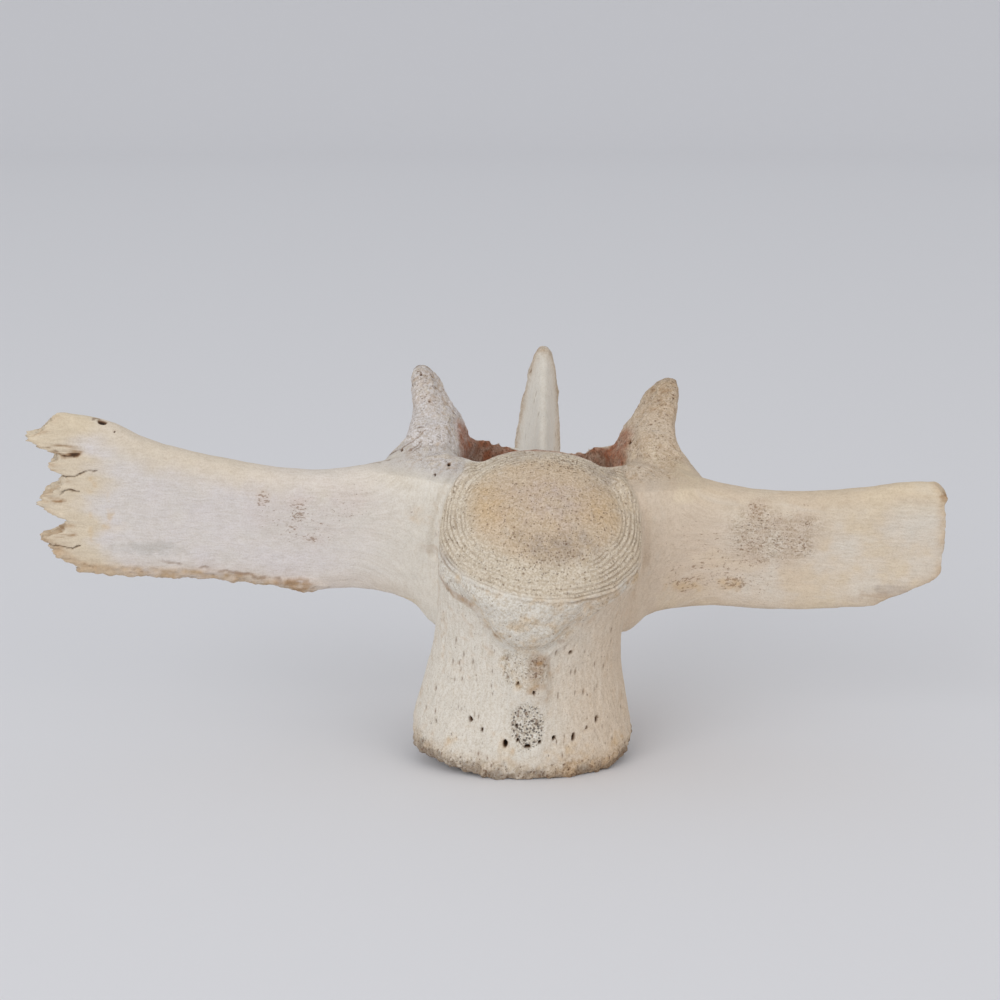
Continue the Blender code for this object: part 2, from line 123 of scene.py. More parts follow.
# Thin brown lines on the right wing and its process: half width, strength, and the points they run
# through as u and level, where the level is c carried forward to the wing's face
BROWN_LINES = (
    (0.22, 0.8, ((-110.6, 79.0), (-107.6, 79.4), (-105.2, 79.0), (-103.6, 77.2))),
    (0.34, 0.6, ((-98.0, 40.6), (-83.5, 38.7), (-72.3, 37.4), (-61.6, 35.8))),
    (0.13, 0.8, ((-44.6, 70.6), (-39.8, 72.6), (-35.3, 74.9), (-32.3, 77.6), (-29.4, 80.8))),
    (0.11, 0.7, ((-41.3, 71.0), (-35.2, 72.6), (-32.0, 75.6), (-28.8, 79.2))),
    (0.1, 0.65, ((-45.6, 69.8), (-38.2, 71.6), (-33.6, 73.4), (-30.4, 76.2))),
)
FORWARD = 0.49

# Clusters of rusty flecks: how thick, place, and reach
FLECKS = (
    (0.9, (-69.0, 30.0, 59.5), (2.0, 9.0, 2.0)),
    (0.8, (-59.8, 30.0, 57.8), (3.4, 9.0, 2.6)),
    (1.0, (-59.7, 30.0, 54.6), (2.2, 9.0, 1.6)),
    (0.7, (-61.7, 30.0, 50.2), (2.2, 9.0, 3.0)),
    (0.8, (-57.0, 30.0, 48.4), (2.0, 9.0, 1.6)),
    (0.6, (-54.6, 30.0, 51.6), (1.4, 9.0, 2.0)),
    (0.45, (-60.0, 30.0, 54.0), (12.0, 9.0, 7.0)),
    (0.7, (-30.6, 29.0, 58.0), (2.6, 9.0, 2.0)),
    (0.56, (58.0, 30.0, 55.0), (16.0, 12.0, 12.0)),
    (0.5, (47.0, 30.0, 49.0), (23.0, 12.0, 13.0)),
    (0.42, (-47.0, 30.0, 58.0), (9.0, 9.0, 7.0)),
    (0.8, (54.4, 30.0, 62.4), (2.6, 9.0, 2.8)),
    (0.74, (53.6, 30.0, 53.8), (6.0, 9.0, 3.4)),
    (0.74, (63.0, 30.0, 54.6), (6.0, 9.0, 3.2)),
    (0.62, (46.0, 30.0, 43.4), (15.0, 12.0, 6.0)),
    (0.8, (38.0, 30.0, 40.4), (4.4, 9.0, 2.8)),
    (0.8, (51.0, 30.0, 41.0), (4.2, 9.0, 2.6)),
)

# How much finer the surface pattern is across the grain than along it
GRAIN_SQUEEZE = 0.22

# Bone tones as seen, red, green and blue from 0 to 255
CHALK = (233, 228, 218)
# Lavender, honey and sand also stand in for light: lavender for the lit left side, honey and sand for the
# shaded right.
LAVENDER_AND_SIDE_LIGHT = (226, 221, 222)
CREAM = (227, 212, 186)
HONEY_AND_SIDE_SHADE = (224, 207, 187)
SAND_AND_SIDE_SHADE = (226, 210, 190)
DOME = (219, 198, 172)
RINGED = (230, 219, 201)
RING_LINE_AND_GROOVE_SHADE = (158, 134, 108)
LILAC = (206, 190, 182)
TAN = (198, 172, 142)
OCHRE = (216, 188, 148)
RUST = (164, 128, 92)
STAIN = (138, 106, 78)
HAZE = (212, 188, 170)
PATCH = (206, 195, 184)
SMUDGE = (168, 156, 148)
SLATE = (196, 194, 190)
# Painted contact shade with dirt, at the foot of the rim
FOOT_SHADE_AND_DIRT = (118, 96, 76)
# Painted shade inside the canal, with a painted reddish-brown reflection
CANAL_SHADE_AND_REFLECTION = (178, 118, 88)
# Painted shade in pores and in deep holes
PORE_SHADE = (118, 86, 60)
HOLLOW_SHADE = (50, 35, 25)
DEEP = (0.74, 0.69, 0.62, 1.0)

# The depth of the finest relief
FINE_RELIEF_M = 0.00022

# How rough and how glossy the bone is
ROUGHNESS = 0.82
GLOSS = 0.3

# The camera, at the photograph's viewing angle
CAMERA_MM = (2.73, -583.69, 180.77)
CAMERA_DOWN_DEG = 11.8
CAMERA_LENS_MM = 79.2
CAMERA_SENSOR_MM = 36.0

# The table: its flat radius, the height and reach of its sweep, and its colour
TABLE_RADIUS_M = 3.0
TABLE_SWEEP_M = 0.6
TABLE_SWEEP_STEPS = 12
TABLE_SPOKES = 96
TABLE_COLOUR = (0.775, 0.77, 0.785, 1.0)

# The lights: name, place, size, power and colour
LIGHTS = (
    ("window", (-0.9, -1.5, 0.7), 1.2, 11.0, (0.97, 0.98, 1.0)),
    ("lamp", (1.0, -1.2, 0.6), 0.9, 3.0, (1.0, 0.93, 0.84)),
)
ROOM_COLOUR = (0.94, 0.96, 1.0, 1.0)
ROOM_STRENGTH = 0.70


def bone_matrix():
    """Takes bone axes in millimetres to the frame in millimetres."""
    turn = Matrix.Rotation(math.radians(ROLL_DEG), 4, "Y") @ Matrix.Rotation(math.radians(LEAN_DEG), 4, "X")
    return Matrix.Translation(Vector(BONE_ORIGIN_MM)) @ turn


def to_bone(points_m):
    """Frame points in metres as bone coordinates in millimetres."""
    inverse = np.array(bone_matrix().inverted())
    return (points_m / MM) @ inverse[:3, :3].T + inverse[:3, 3]


def to_frame(points_mm):
    """Bone coordinates in millimetres as frame points in metres."""
    matrix = np.array(bone_matrix())
    return (points_mm @ matrix[:3, :3].T + matrix[:3, 3]) * MM


def mesh_points(mesh):
    points = np.empty(len(mesh.vertices) * 3)
    mesh.vertices.foreach_get("co", points)
    return points.reshape(-1, 3)


def mesh_normals(mesh):
    normals = np.empty(len(mesh.vertices) * 3)
    mesh.vertices.foreach_get("normal", normals)
    return normals.reshape(-1, 3)


def set_points(mesh, points):
    mesh.vertices.foreach_set("co", points.ravel())
    mesh.update()


def mesh_edges(mesh):
    edges = np.empty(len(mesh.edges) * 2, dtype=np.int64)
    mesh.edges.foreach_get("vertices", edges)
    return edges.reshape(-1, 2)


def neighbour_mean(values, edges):
    """The mean of each vertex's neighbours."""
    count = len(values)
    starts, ends = edges[:, 0], edges[:, 1]
    valence = np.bincount(starts, minlength=count) + np.bincount(ends, minlength=count)
    total = np.empty_like(values)
    for axis in range(values.shape[1]):
        total[:, axis] = (np.bincount(starts, weights=values[ends, axis], minlength=count)
                          + np.bincount(ends, weights=values[starts, axis], minlength=count))
    return total / np.maximum(valence, 1)[:, None]


def smoothed(points, edges, rounds, shrink=0.5, swell=-0.52):
    """Smooths without shrinking: each round pulls in, then pushes out."""
    for _ in range(rounds):
        for step in (shrink, swell):
            points = points + step * (neighbour_mean(points, edges) - points)
    return points


def ramp(values, low, high):
    """0 below low, 1 above high, smooth between; low may be the larger."""
    share = np.clip((values - low) / (high - low), 0.0, 1.0)
    return share * share * (3.0 - 2.0 * share)


def band(values, low, high, soft):
    """1 between low and high, fading over soft on both sides."""
    return ramp(values, low - soft, low) * ramp(values, high + soft, high)


def cell_random(cells, salt):
    """A repeatable number from 0 to 1 for each whole-number cell."""
    mixed = cells[:, 0] * 73856093 ^ cells[:, 1] * 19349663 ^ cells[:, 2] * 83492791 ^ (salt * 40503 + 977)
    mixed = ((mixed ^ (mixed >> 15)) * 0x2C1B3C6D) & 0xFFFFFFFF
    mixed = ((mixed ^ (mixed >> 12)) * 0x297A2D39) & 0xFFFFFFFF
    return ((mixed ^ (mixed >> 15)) & 0xFFFFFF) / float(0xFFFFFF)


def noise(points, size, salt=0):
    """Smooth noise from -1 to 1 with features of about that size, which may differ by axis."""
    scaled = points / np.asarray(size, dtype=float)
    base = np.floor(scaled).astype(np.int64)
    part = scaled - base
    part = part * part * (3.0 - 2.0 * part)
    total = np.zeros(len(points))
    for corner in range(8):
        offset = np.array([(corner >> axis) & 1 for axis in range(3)])
        weight = np.prod(np.where(offset, part, 1.0 - part), axis=1)
        total += weight * cell_random(base + offset, salt)
    return total * 2.0 - 1.0


def fractal(points, size, octaves, salt=0, gain=0.5):
    """Noise from -1 to 1 with finer and finer features, each octave weaker by the gain."""
    total = np.zeros(len(points))
    size = np.asarray(size, dtype=float)
    strength, reach = 1.0, 0.0
    for octave in range(octaves):
        total += strength * noise(points, size / 2.0 ** octave, salt + octave)
        reach += strength
        strength *= gain
    return total / reach


def pits(points, size, share, salt=0):
    """1 at the middle of scattered round pits, 0 between them; size may differ by axis."""
    scaled = points / np.asarray(size, dtype=float)
    base = np.floor(scaled).astype(np.int64)
    deepest = np.zeros(len(points))
    for x in (-1, 0, 1):
        for y in (-1, 0, 1):
            for z in (-1, 0, 1):
                cell = base + np.array((x, y, z))
                centre = cell + np.stack([cell_random(cell, salt + axis) for axis in range(3)], axis=1)
                radius = 0.2 + 0.35 * cell_random(cell, salt + 3)
                there = cell_random(cell, salt + 4) < share
                distance = np.linalg.norm(scaled - centre, axis=1)
                deepest = np.maximum(deepest, np.where(there, ramp(distance, radius, 0.0), 0.0))
    return deepest


def blob(points, centre, radii, ragged=0.0, salt=0, soft=0.25):
    """1 inside an ellipsoid, fading to 0 outside, with an edge as ragged and as soft as asked."""
    reach = np.linalg.norm((points - np.asarray(centre)) / np.asarray(radii), axis=1)
    if ragged:
        reach = reach + ragged * fractal(points, min(radii) * 0.8, 3, salt)
    return ramp(reach, 1.0 + soft, 1.0 - soft)


def line_distance(points, start, end):
    """How far each point is from a line between two points."""
    start, end = np.asarray(start, dtype=float), np.asarray(end, dtype=float)
    along = end - start
    share = np.clip(((points - start) @ along) / (along @ along), 0.0, 1.0)
    return np.linalg.norm(points - start - share[:, None] * along, axis=1)


def apply_modifier(piece, kind, **settings):
    modifier = piece.modifiers.new(kind.lower(), kind)
    for name, value in settings.items():
        setattr(modifier, name, value)
    graph = bpy.context.evaluated_depsgraph_get()
    mesh = bpy.data.meshes.new_from_object(piece.evaluated_get(graph))
    piece.modifiers.clear()
    old = piece.data
    piece.data = mesh
    bpy.data.meshes.remove(old)


def joined_solids(nodes):
    """Every solid in one mesh, each swollen a little so that the thin cuts close."""
    points, faces, base = [], [], 0
    for node in nodes.values():
        mesh = node.data
        swollen = mesh_points(mesh) + mesh_normals(mesh) * WELD_MM * MM
        points.append(swollen)
        faces.extend([[index + base for index in polygon.vertices] for polygon in mesh.polygons])
        base += len(swollen)
    mesh = bpy.data.meshes.new("bone")
    mesh.from_pydata(np.concatenate(points).tolist(), [], faces)
    mesh.update()
    piece = bpy.data.objects.new("bone", mesh)
    bpy.context.scene.collection.objects.link(piece)
    return piece


def grow_skin(nodes):
    piece = joined_solids(nodes)
    apply_modifier(piece, "REMESH", mode="VOXEL", voxel_size=SKIN_VOXEL_MM * MM, adaptivity=0.0)
    mesh = piece.data
    edges = mesh_edges(mesh)
    points = smoothed(mesh_points(mesh), edges, SKIN_SMOOTHING)
    set_points(mesh, points)
    set_points(mesh, points - mesh_normals(mesh) * WELD_MM * MM)
    return piece


def only(mask, points, pattern):
    """The pattern's values times the mask, worked out only where the mask shows."""
    values = np.zeros(len(points))
    chosen = mask > 0.002
    if chosen.any():
        values[chosen] = pattern(points[chosen])
    return values * mask


def pitted(mask, points, size, share, salt):
    """Pits where the mask shows."""
    return only(mask, points, lambda p: pits(p, size, share, salt))


def edge_of(along, across, chosen, low, high, step, outermost):
    """How far the chosen points reach across, as a function of the place along them."""
    places = np.arange(low, high + step, step)
    reach = np.full(len(places), np.nan)
    slots = np.round((along[chosen] - low) / step).astype(int)
    inside = (slots >= 0) & (slots < len(places))
    slots, values = slots[inside], across[chosen][inside]
    order = np.argsort(values * (1.0 if outermost is max else -1.0))
    reach[slots[order]] = values[order]
    known = ~np.isnan(reach)
    return np.interp(along, places[known], reach[known])


class Bone:
    """The skin's smooth points in bone axes, and where each lies on the bone."""

    def __init__(self, points, normals):
        self.points = points
        self.normals = normals
        self.u, self.d, self.c = points.T
        self.side = np.abs(self.u)
        self.wander = fractal(points, 9.0, 3, 5)
        on_wing = (self.side > 30.0) & (self.d < 41.0)
        left, right = on_wing & (self.u < 0.0), on_wing & (self.u > 0.0)
        self.wing = ramp(self.side, 27.0, 34.0) * ramp(self.d, 44.0, 39.0)
        lower_right = edge_of(self.u, self.c, right, 30.0, 105.0, 1.0, min)
        lower_left = edge_of(self.u, self.c, left, -125.0, -30.0, 1.0, min)
        upper_right = edge_of(self.u, self.c, right & (self.d < 36.0), 30.0, 105.0, 1.0, max)
        upper_left = edge_of(self.u, self.c, left & (self.d < 36.0), -125.0, -30.0, 1.0, max)
        lower = np.where(self.u > 0.0, lower_right, lower_left)
        upper = np.where(self.u > 0.0, upper_right, upper_left)
        self.from_lower = self.c - lower
        self.from_upper = upper - self.c
        far_left = edge_of(self.c, self.u, left, 30.0, 85.0, 0.7, min)
        far_right = edge_of(self.c, self.u, right, 30.0, 80.0, 0.7, max)
        self.from_left_end = self.u - far_left
        self.from_right_end = far_right - self.u
        self.body = ramp(self.side, 31.0, 27.0) * ramp(self.d, 43.5, 40.0)
        self.front = self.body * ramp(self.d, 32.0, 24.0)
        self.above_ledge = self.c - np.interp(self.u, LEDGE_U, LEDGE_C)
        self.forward_level = self.c + FORWARD * (self.d - 30.0)
        half_width = np.interp(self.c, HEAD_EDGE_C, HEAD_EDGE_HALF)
        self.inside_head = half_width - np.abs(self.u - HEAD_EDGE_MIDDLE)
        self.head = self.body * ramp(self.above_ledge, -0.8, 0.8) * ramp(self.inside_head, -0.4, 0.6)
        from_pole = points - np.asarray(RING_POLE)
        from_pole[:, 0] /= RING_STRETCH
        self.ring_reach = np.linalg.norm(from_pole, axis=1)
        self.process = ramp(self.d, 40.0, 44.0) * ramp(self.c, 56.0, 64.0) * band(self.side, 18.0, 42.0, 3.0)
        self.process = np.maximum(self.process, ramp(self.c, 67.0, 71.0) * band(self.side, 21.0, 42.0, 4.0))


def ring_reach(bone):
    """How far out each point lies on the growth rings, in millimetres, as uneven as the rings run."""
    reach = bone.ring_reach + 0.6 * fractal(bone.points, 6.0, 4, 11)
    return reach + 0.16 * np.sin(reach * 1.9)


def ring_strength(bone, reach):
    """How plainly the rings show: strongest at the sides, worn through in places at the front."""
    inner = ramp(reach + 1.5 * bone.wander, RING_START - 2.0, RING_START + 3.5)
    there = inner * ramp(reach, RING_END + 1.5, RING_END) * bone.head
    lively = only(there, bone.points, lambda p: 0.8 + 1.0 * fractal(p, 3.2, 3, 13))
    worn = 1.0 - 0.7 * blob(bone.points, (-3.0, 6.0, 55.0), (15.0, 9.0, 7.0), 0.5, 15, 0.6)
    return np.clip(lively * worn, 0.0, 1.15)


def foramen_depth(bone):
    """Vessel holes on the front of the body, 1 at the bottom of each."""
    deepest = np.zeros(len(bone.points))
    for u, c, radius, stretch in FORAMINA:
        reach = np.hypot((bone.u - u) / radius, (bone.c - c) / (radius * stretch))
        deepest = np.maximum(deepest, ramp(reach, 1.25, 0.55))
    return deepest * (bone.d < 22.0)


def crack_depth(bone):
    """Cracks that run in from the broken end, 1 at the bottom of each."""
    wavy = np.stack([bone.u, bone.c + 0.7 * noise(bone.points, (1.9, 50.0, 1.9), 61)], axis=1)
    opened = 1.0 + 0.9 * noise(bone.points, (1.6, 50.0, 1.6), 62)
    deepest = np.zeros(len(bone.points))
    for width, path in CRACKS:
        for start, end in zip(path, path[1:]):
            distance = line_distance(wavy, start, end)
            deepest = np.maximum(deepest, ramp(distance, 0.05 + width * 0.7 * opened, 0.02))
    return deepest * (bone.from_left_end < 24.0) * (bone.u < -90.0) * (bone.normals[:, 1] < 0.2)


def line_strength(bone):
    """Thin brown lines, worn away in places."""
    place = np.stack([bone.u, bone.forward_level], axis=1)
    place[:, 1] += 0.6 * noise(bone.points, 2.6, 65) + 0.35 * noise(bone.points, 0.9, 68)
    worn = ramp(fractal(bone.points, 2.4, 2, 66), -0.5, 0.15)
    shown = np.zeros(len(bone.points))
    for width, strength, path in BROWN_LINES:
        for start, end in zip(path, path[1:]):
            distance = line_distance(place, start, end)
            shown = np.maximum(shown, strength * ramp(distance, width + 0.16, width * 0.4))
    return shown * worn * (bone.u < -25.0) * (bone.normals[:, 1] < 0.3)


def vessel_depth(bone):
    """Small dark holes on the wings and processes, 1 at the bottom of each."""
    deepest = np.zeros(len(bone.points))
    for place, radius in VESSEL_HOLES:
        reach = np.linalg.norm((bone.points - np.asarray(place)) / np.array((1.0, 2.0, 1.2)), axis=1) / radius
        deepest = np.maximum(deepest, ramp(reach, 1.3, 0.5))
    return deepest


class Relief:
    """Relief along the normal in millimetres, the painted shade of its hollows, and the masks that the tones
    use.
    """

    def __init__(self, bone):
        self.points = bone.points
        self.height = 0.22 * fractal(self.points, 13.0, 3, 2) + 0.05 * fractal(self.points, 2.2, 3, 8)
        self.dark = np.zeros(len(self.points))
        self.masks = {}

    def lift(self, mask, pattern):
        """Adds the pattern to the height where the mask shows."""
        self.height += only(mask, self.points, pattern)

    # Paints shade into the hollows: the deeper the pit, slit, hole, crack or gap between layers, the darker.
    def paint_hollow_shade(self, depth):
        self.dark = np.maximum(self.dark, depth)


def work_head(bone, relief):
    """The growth rings, the seam around the head, and the rough chin below it."""
    points, u, d, c = bone.points, bone.u, bone.d, bone.c
    reach = ring_reach(bone)
    ringed = ring_strength(bone, reach)
    relief.height += RING_HEIGHT * np.cos(reach / RING_SPACING * 2.0 * math.pi) * ringed
    seam = band(c, 47.0, 69.0, 2.0) * ramp(d, 36.0, 31.0) * bone.body
    relief.height -= 0.9 * seam * np.exp(-((bone.inside_head + 0.9) / 1.1) ** 2)
    softened = bone.front * band(u, -14.0, 9.0, 3.0)
    relief.height += 0.6 * softened * np.exp(-((bone.above_ledge + 1.0) / 1.3) ** 2)
    relief.height += 0.5 * seam * np.exp(-((bone.inside_head - 2.0) / 1.8) ** 2)

    cap = bone.head * ramp(bone.ring_reach + bone.wander, RING_END + 0.5, RING_END - 1.5)
    centre = bone.head * ramp(bone.ring_reach + 1.5 * bone.wander, RING_START + 2.5, RING_START - 2.0)
    relief.lift(cap, lambda p: 0.11 * fractal(p, 1.1, 2, 71))

    rough = bone.head * ramp(bone.ring_reach, RING_END - 2.0, RING_END + 0.5) * ramp(d, 26.0, 18.0)
    relief.lift(rough, lambda p: 0.75 * fractal(p, 4.0, 4, 21) + 0.2 * fractal(p, 1.2, 2, 25))
    grains = pitted(rough, points, 1.1, 0.3, 75)
    relief.height -= 0.25 * grains
    relief.paint_hollow_shade(0.5 * grains)
    relief.masks.update(reach=reach, ringed=ringed, cap=cap, centre=centre, rough=rough)


def work_body(bone, relief):
    """The body's front: fibres, slits, the keel, and the two patches of open sponge."""
    points, u, c = bone.points, bone.u, bone.c
    shaft = bone.front * (1.0 - bone.head)
    below_head = bone.body * (1.0 - bone.head)
    relief.lift(below_head, lambda p: 0.22 * fractal(p, (0.95, 0.95, 8.0), 3, 31))
    slits = pitted(shaft, points, (0.8, 1.4, 3.4), 0.24, 33)
    relief.height -= 0.35 * slits
    relief.paint_hollow_shade(0.5 * slits)

    relief.height += shaft * 0.8 * np.exp(-((u - 2.6) / 1.7) ** 2) * band(c, 9.0, 30.0, 5.0)
    sponge = shaft * ramp(np.hypot((u + 0.4) / 4.4, (c - 13.4) / 7.0) + 0.3 * bone.wander, 1.15, 0.8)
    speckled = shaft * ramp(np.hypot((u + 2.5) / 7.5, (c - 28.5) / 8.0) + 0.3 * bone.wander, 1.15, 0.6)
    sponge_pits = pitted(sponge, points, 1.7, 0.5, 35)
    relief.height -= 0.6 * sponge_pits + 0.25 * sponge
    relief.paint_hollow_shade(sponge_pits * (0.35 + 0.6 * ramp(c, 12.0, 8.0)))
    relief.masks.update(shaft=shaft, sponge=sponge, speckled=speckled)


def work_rim(bone, relief):
    """The crumbled rim that the bone stands on."""
    points, u, c = bone.points, bone.u, bone.c
    rim = bone.body * ramp(c + 1.5 * bone.wander, 6.5, 1.0)
    relief.lift(rim, lambda p: 0.9 * fractal(p, 4.2, 2, 41) + 0.9 * fractal(p, 1.5, 2, 44))
    crumbs = pitted(rim, points, 1.15, 0.5, 43)
    relief.height -= 0.55 * crumbs
    # The crumbs' painted shade is stronger towards the viewer's right, the side away from the light.
    relief.paint_hollow_shade(0.95 * crumbs * (0.65 + 0.35 * ramp(u, -5.0, 15.0)))
    relief.masks.update(rim=rim)


def work_holes(bone, relief):
    """The holes for vessels, on the body, the wings and the processes."""
    holes = np.maximum(foramen_depth(bone), vessel_depth(bone))
    relief.height -= FORAMEN_DEPTH * foramen_depth(bone) + 0.8 * vessel_depth(bone)
    relief.paint_hollow_shade(holes)


def work_wings(bone, relief):
    """The transverse processes: crumbled edge, broken end, cracks, lines, and a patch of small pits."""
    points, u = bone.points, bone.u
    relief.lift(bone.wing, lambda p: 0.07 * fractal(p, (11.0, 1.6, 1.3), 3, 51))
    lower_rim = bone.wing * ramp(bone.from_lower, 4.2, 2.4) * (u < 0.0) * ramp(u, -50.0, -62.0)
    relief.lift(lower_rim, lambda p: 0.3 + 0.9 * fractal(p, (2.4, 1.8, 1.4), 3, 53))
    rim_crumbs = pitted(lower_rim, points, (1.6, 1.2, 0.9), 0.3, 54)
    relief.height -= 0.25 * rim_crumbs
    relief.paint_hollow_shade(0.4 * rim_crumbs)
    lump = blob(points, (-59.5, 33.0, 34.0), (6.5, 7.0, 2.2), 0.3, 55) * bone.wing
    relief.height += 0.7 * lump

    end_left = bone.wing * ramp(bone.from_left_end, 7.0, 1.0) * (u < -60.0)
    end_right = bone.wing * ramp(bone.from_right_end, 3.0, 0.5) * (u > 60.0)
    relief.lift(end_left, lambda p: 0.5 * fractal(p, (7.0, 1.5, 1.0), 3, 57))
    relief.lift(end_right, lambda p: 0.4 * fractal(p, (3.0, 1.5, 1.6), 3, 59))
    cracks = crack_depth(bone)
    relief.height -= 0.9 * cracks
    slit = blob(points, (-108.2, 30.0, 78.2), (1.2, 0.9, 0.7), 0.25, 64, 0.4)
    relief.height -= 0.7 * slit
    lines = line_strength(bone)
    relief.height -= 0.15 * lines
    relief.paint_hollow_shade(np.maximum(0.6 * cracks, 0.9 * slit))
    layered = blob(points, (-118.0, 28.5, 70.3), (4.6, 7.0, 1.8), 0.35, 63)
    layers = only(layered, points, lambda p: fractal(p, (5.0, 2.0, 0.8), 3, 65))
    relief.height += 0.5 * layers - 0.3 * layered
    relief.paint_hollow_shade(0.8 * layered * ramp(-layers, 0.0, 0.5))
    patch = bone.wing * blob(points, (58.5, 30.0, 55.8), (12.0, 12.0, 9.5), 0.5, 81, 0.4)
    patch_pits = pitted(patch, points, (1.7, 1.2, 0.9), 0.5, 85)
    relief.height -= 0.22 * patch_pits
    relief.paint_hollow_shade(0.25 * patch_pits)
    relief.masks.update(lower_rim=lower_rim, lump=lump, lines=lines, end_left=end_left,
                        end_right=end_right, layered=layered, patch=patch)


def work_processes(bone, relief):
    """The cranial articular processes, streaked and pitted, most at their tips."""
    points, d, c = bone.points, bone.d, bone.c
    streaked = np.stack([(c - bone.side) * 0.7, (c + bone.side) * 0.7, d], axis=1)
    streaks = np.zeros(len(points))
    chosen = bone.process > 0.002
    streaks[chosen] = fractal(streaked[chosen], (7.0, 1.0, 1.4), 3, 91)
    relief.height += 0.3 * streaks * bone.process
    process_pits = pitted(bone.process, points, (1.0, 1.3, 1.2), 0.3, 93)
    tips = bone.process * ramp(c + 1.5 * bone.wander, 73.0, 79.0)
    tip_pits = pitted(tips, points, 1.0, 0.5, 95)
    relief.lift(tips, lambda p: 0.35 * fractal(p, 2.4, 2, 97))
    relief.height -= 0.3 * process_pits + 0.3 * tip_pits
    relief.paint_hollow_shade(np.maximum(0.5 * process_pits, 0.5 * tip_pits))
    relief.masks.update(streaks=streaks, tips=tips)


def work_rear(bone, relief):
    """The arch, the spinous process and the caudal processes, rough at their ends."""
    points, d, c = bone.points, bone.d, bone.c
    rear = ramp(d, 44.0, 50.0) * (1.0 - bone.process)
    relief.lift(rear, lambda p: 0.35 * fractal(p, (5.0, 9.0, 9.0), 3, 161))
    rear_pits = pitted(rear, points, (2.2, 2.4, 3.4), 0.16, 163)
    ends = rear * np.maximum(ramp(d, 128.0, 137.0), ramp(c, -9.0, -17.0))
    relief.lift(ends, lambda p: 0.55 * fractal(p, 3.2, 3, 165))
    end_pits = pitted(ends, points, 1.4, 0.5, 167)
    relief.height -= 0.35 * rear_pits + 0.35 * end_pits
    relief.paint_hollow_shade(np.maximum(0.5 * rear_pits, 0.5 * end_pits))
    relief.masks.update(ends=ends)


def worked(bone):
    """The whole bone's relief, with the masks of its parts."""
    relief = Relief(bone)
    for work in (work_head, work_body, work_rim, work_holes, work_wings, work_processes, work_rear):
        work(bone, relief)
    return relief


def linear(red, green, blue):
    """A colour as seen, 0 to 255, as linear light."""
    seen = np.array((red, green, blue)) / 255.0
    return np.where(seen <= 0.04045, seen / 12.92, ((seen + 0.055) / 1.055) ** 2.4)


def inside_canal(bone):
    """1 on the walls of the canal, which face its middle line."""
    across, deep = bone.u - 0.8, bone.d - 53.0
    inward = -(bone.normals[:, 0] * across + bone.normals[:, 1] * deep)
    inward = inward / np.maximum(np.hypot(across, deep), 1.0)
    near = ramp(np.hypot(across, deep * 1.5), 24.0, 21.0)
    return near * ramp(inward, 0.05, 0.45) * ramp(bone.c, 77.0, 69.0)


class Paint:
    """The bone's colour at each point, and the two noises that vary it."""

    def __init__(self, bone):
        self.mottle = fractal(bone.points, 6.0, 4, 101)
        self.fine = fractal(bone.points, 1.7, 3, 105)
        self.tones = np.tile(linear(*CHALK), (len(bone.points), 1))

    def lay(self, colour, mask):
        """Takes the tones towards the colour where the mask shows."""
        share = np.clip(mask, 0.0, 1.0)[:, None]
        self.tones = self.tones * (1.0 - share) + linear(*colour) * share


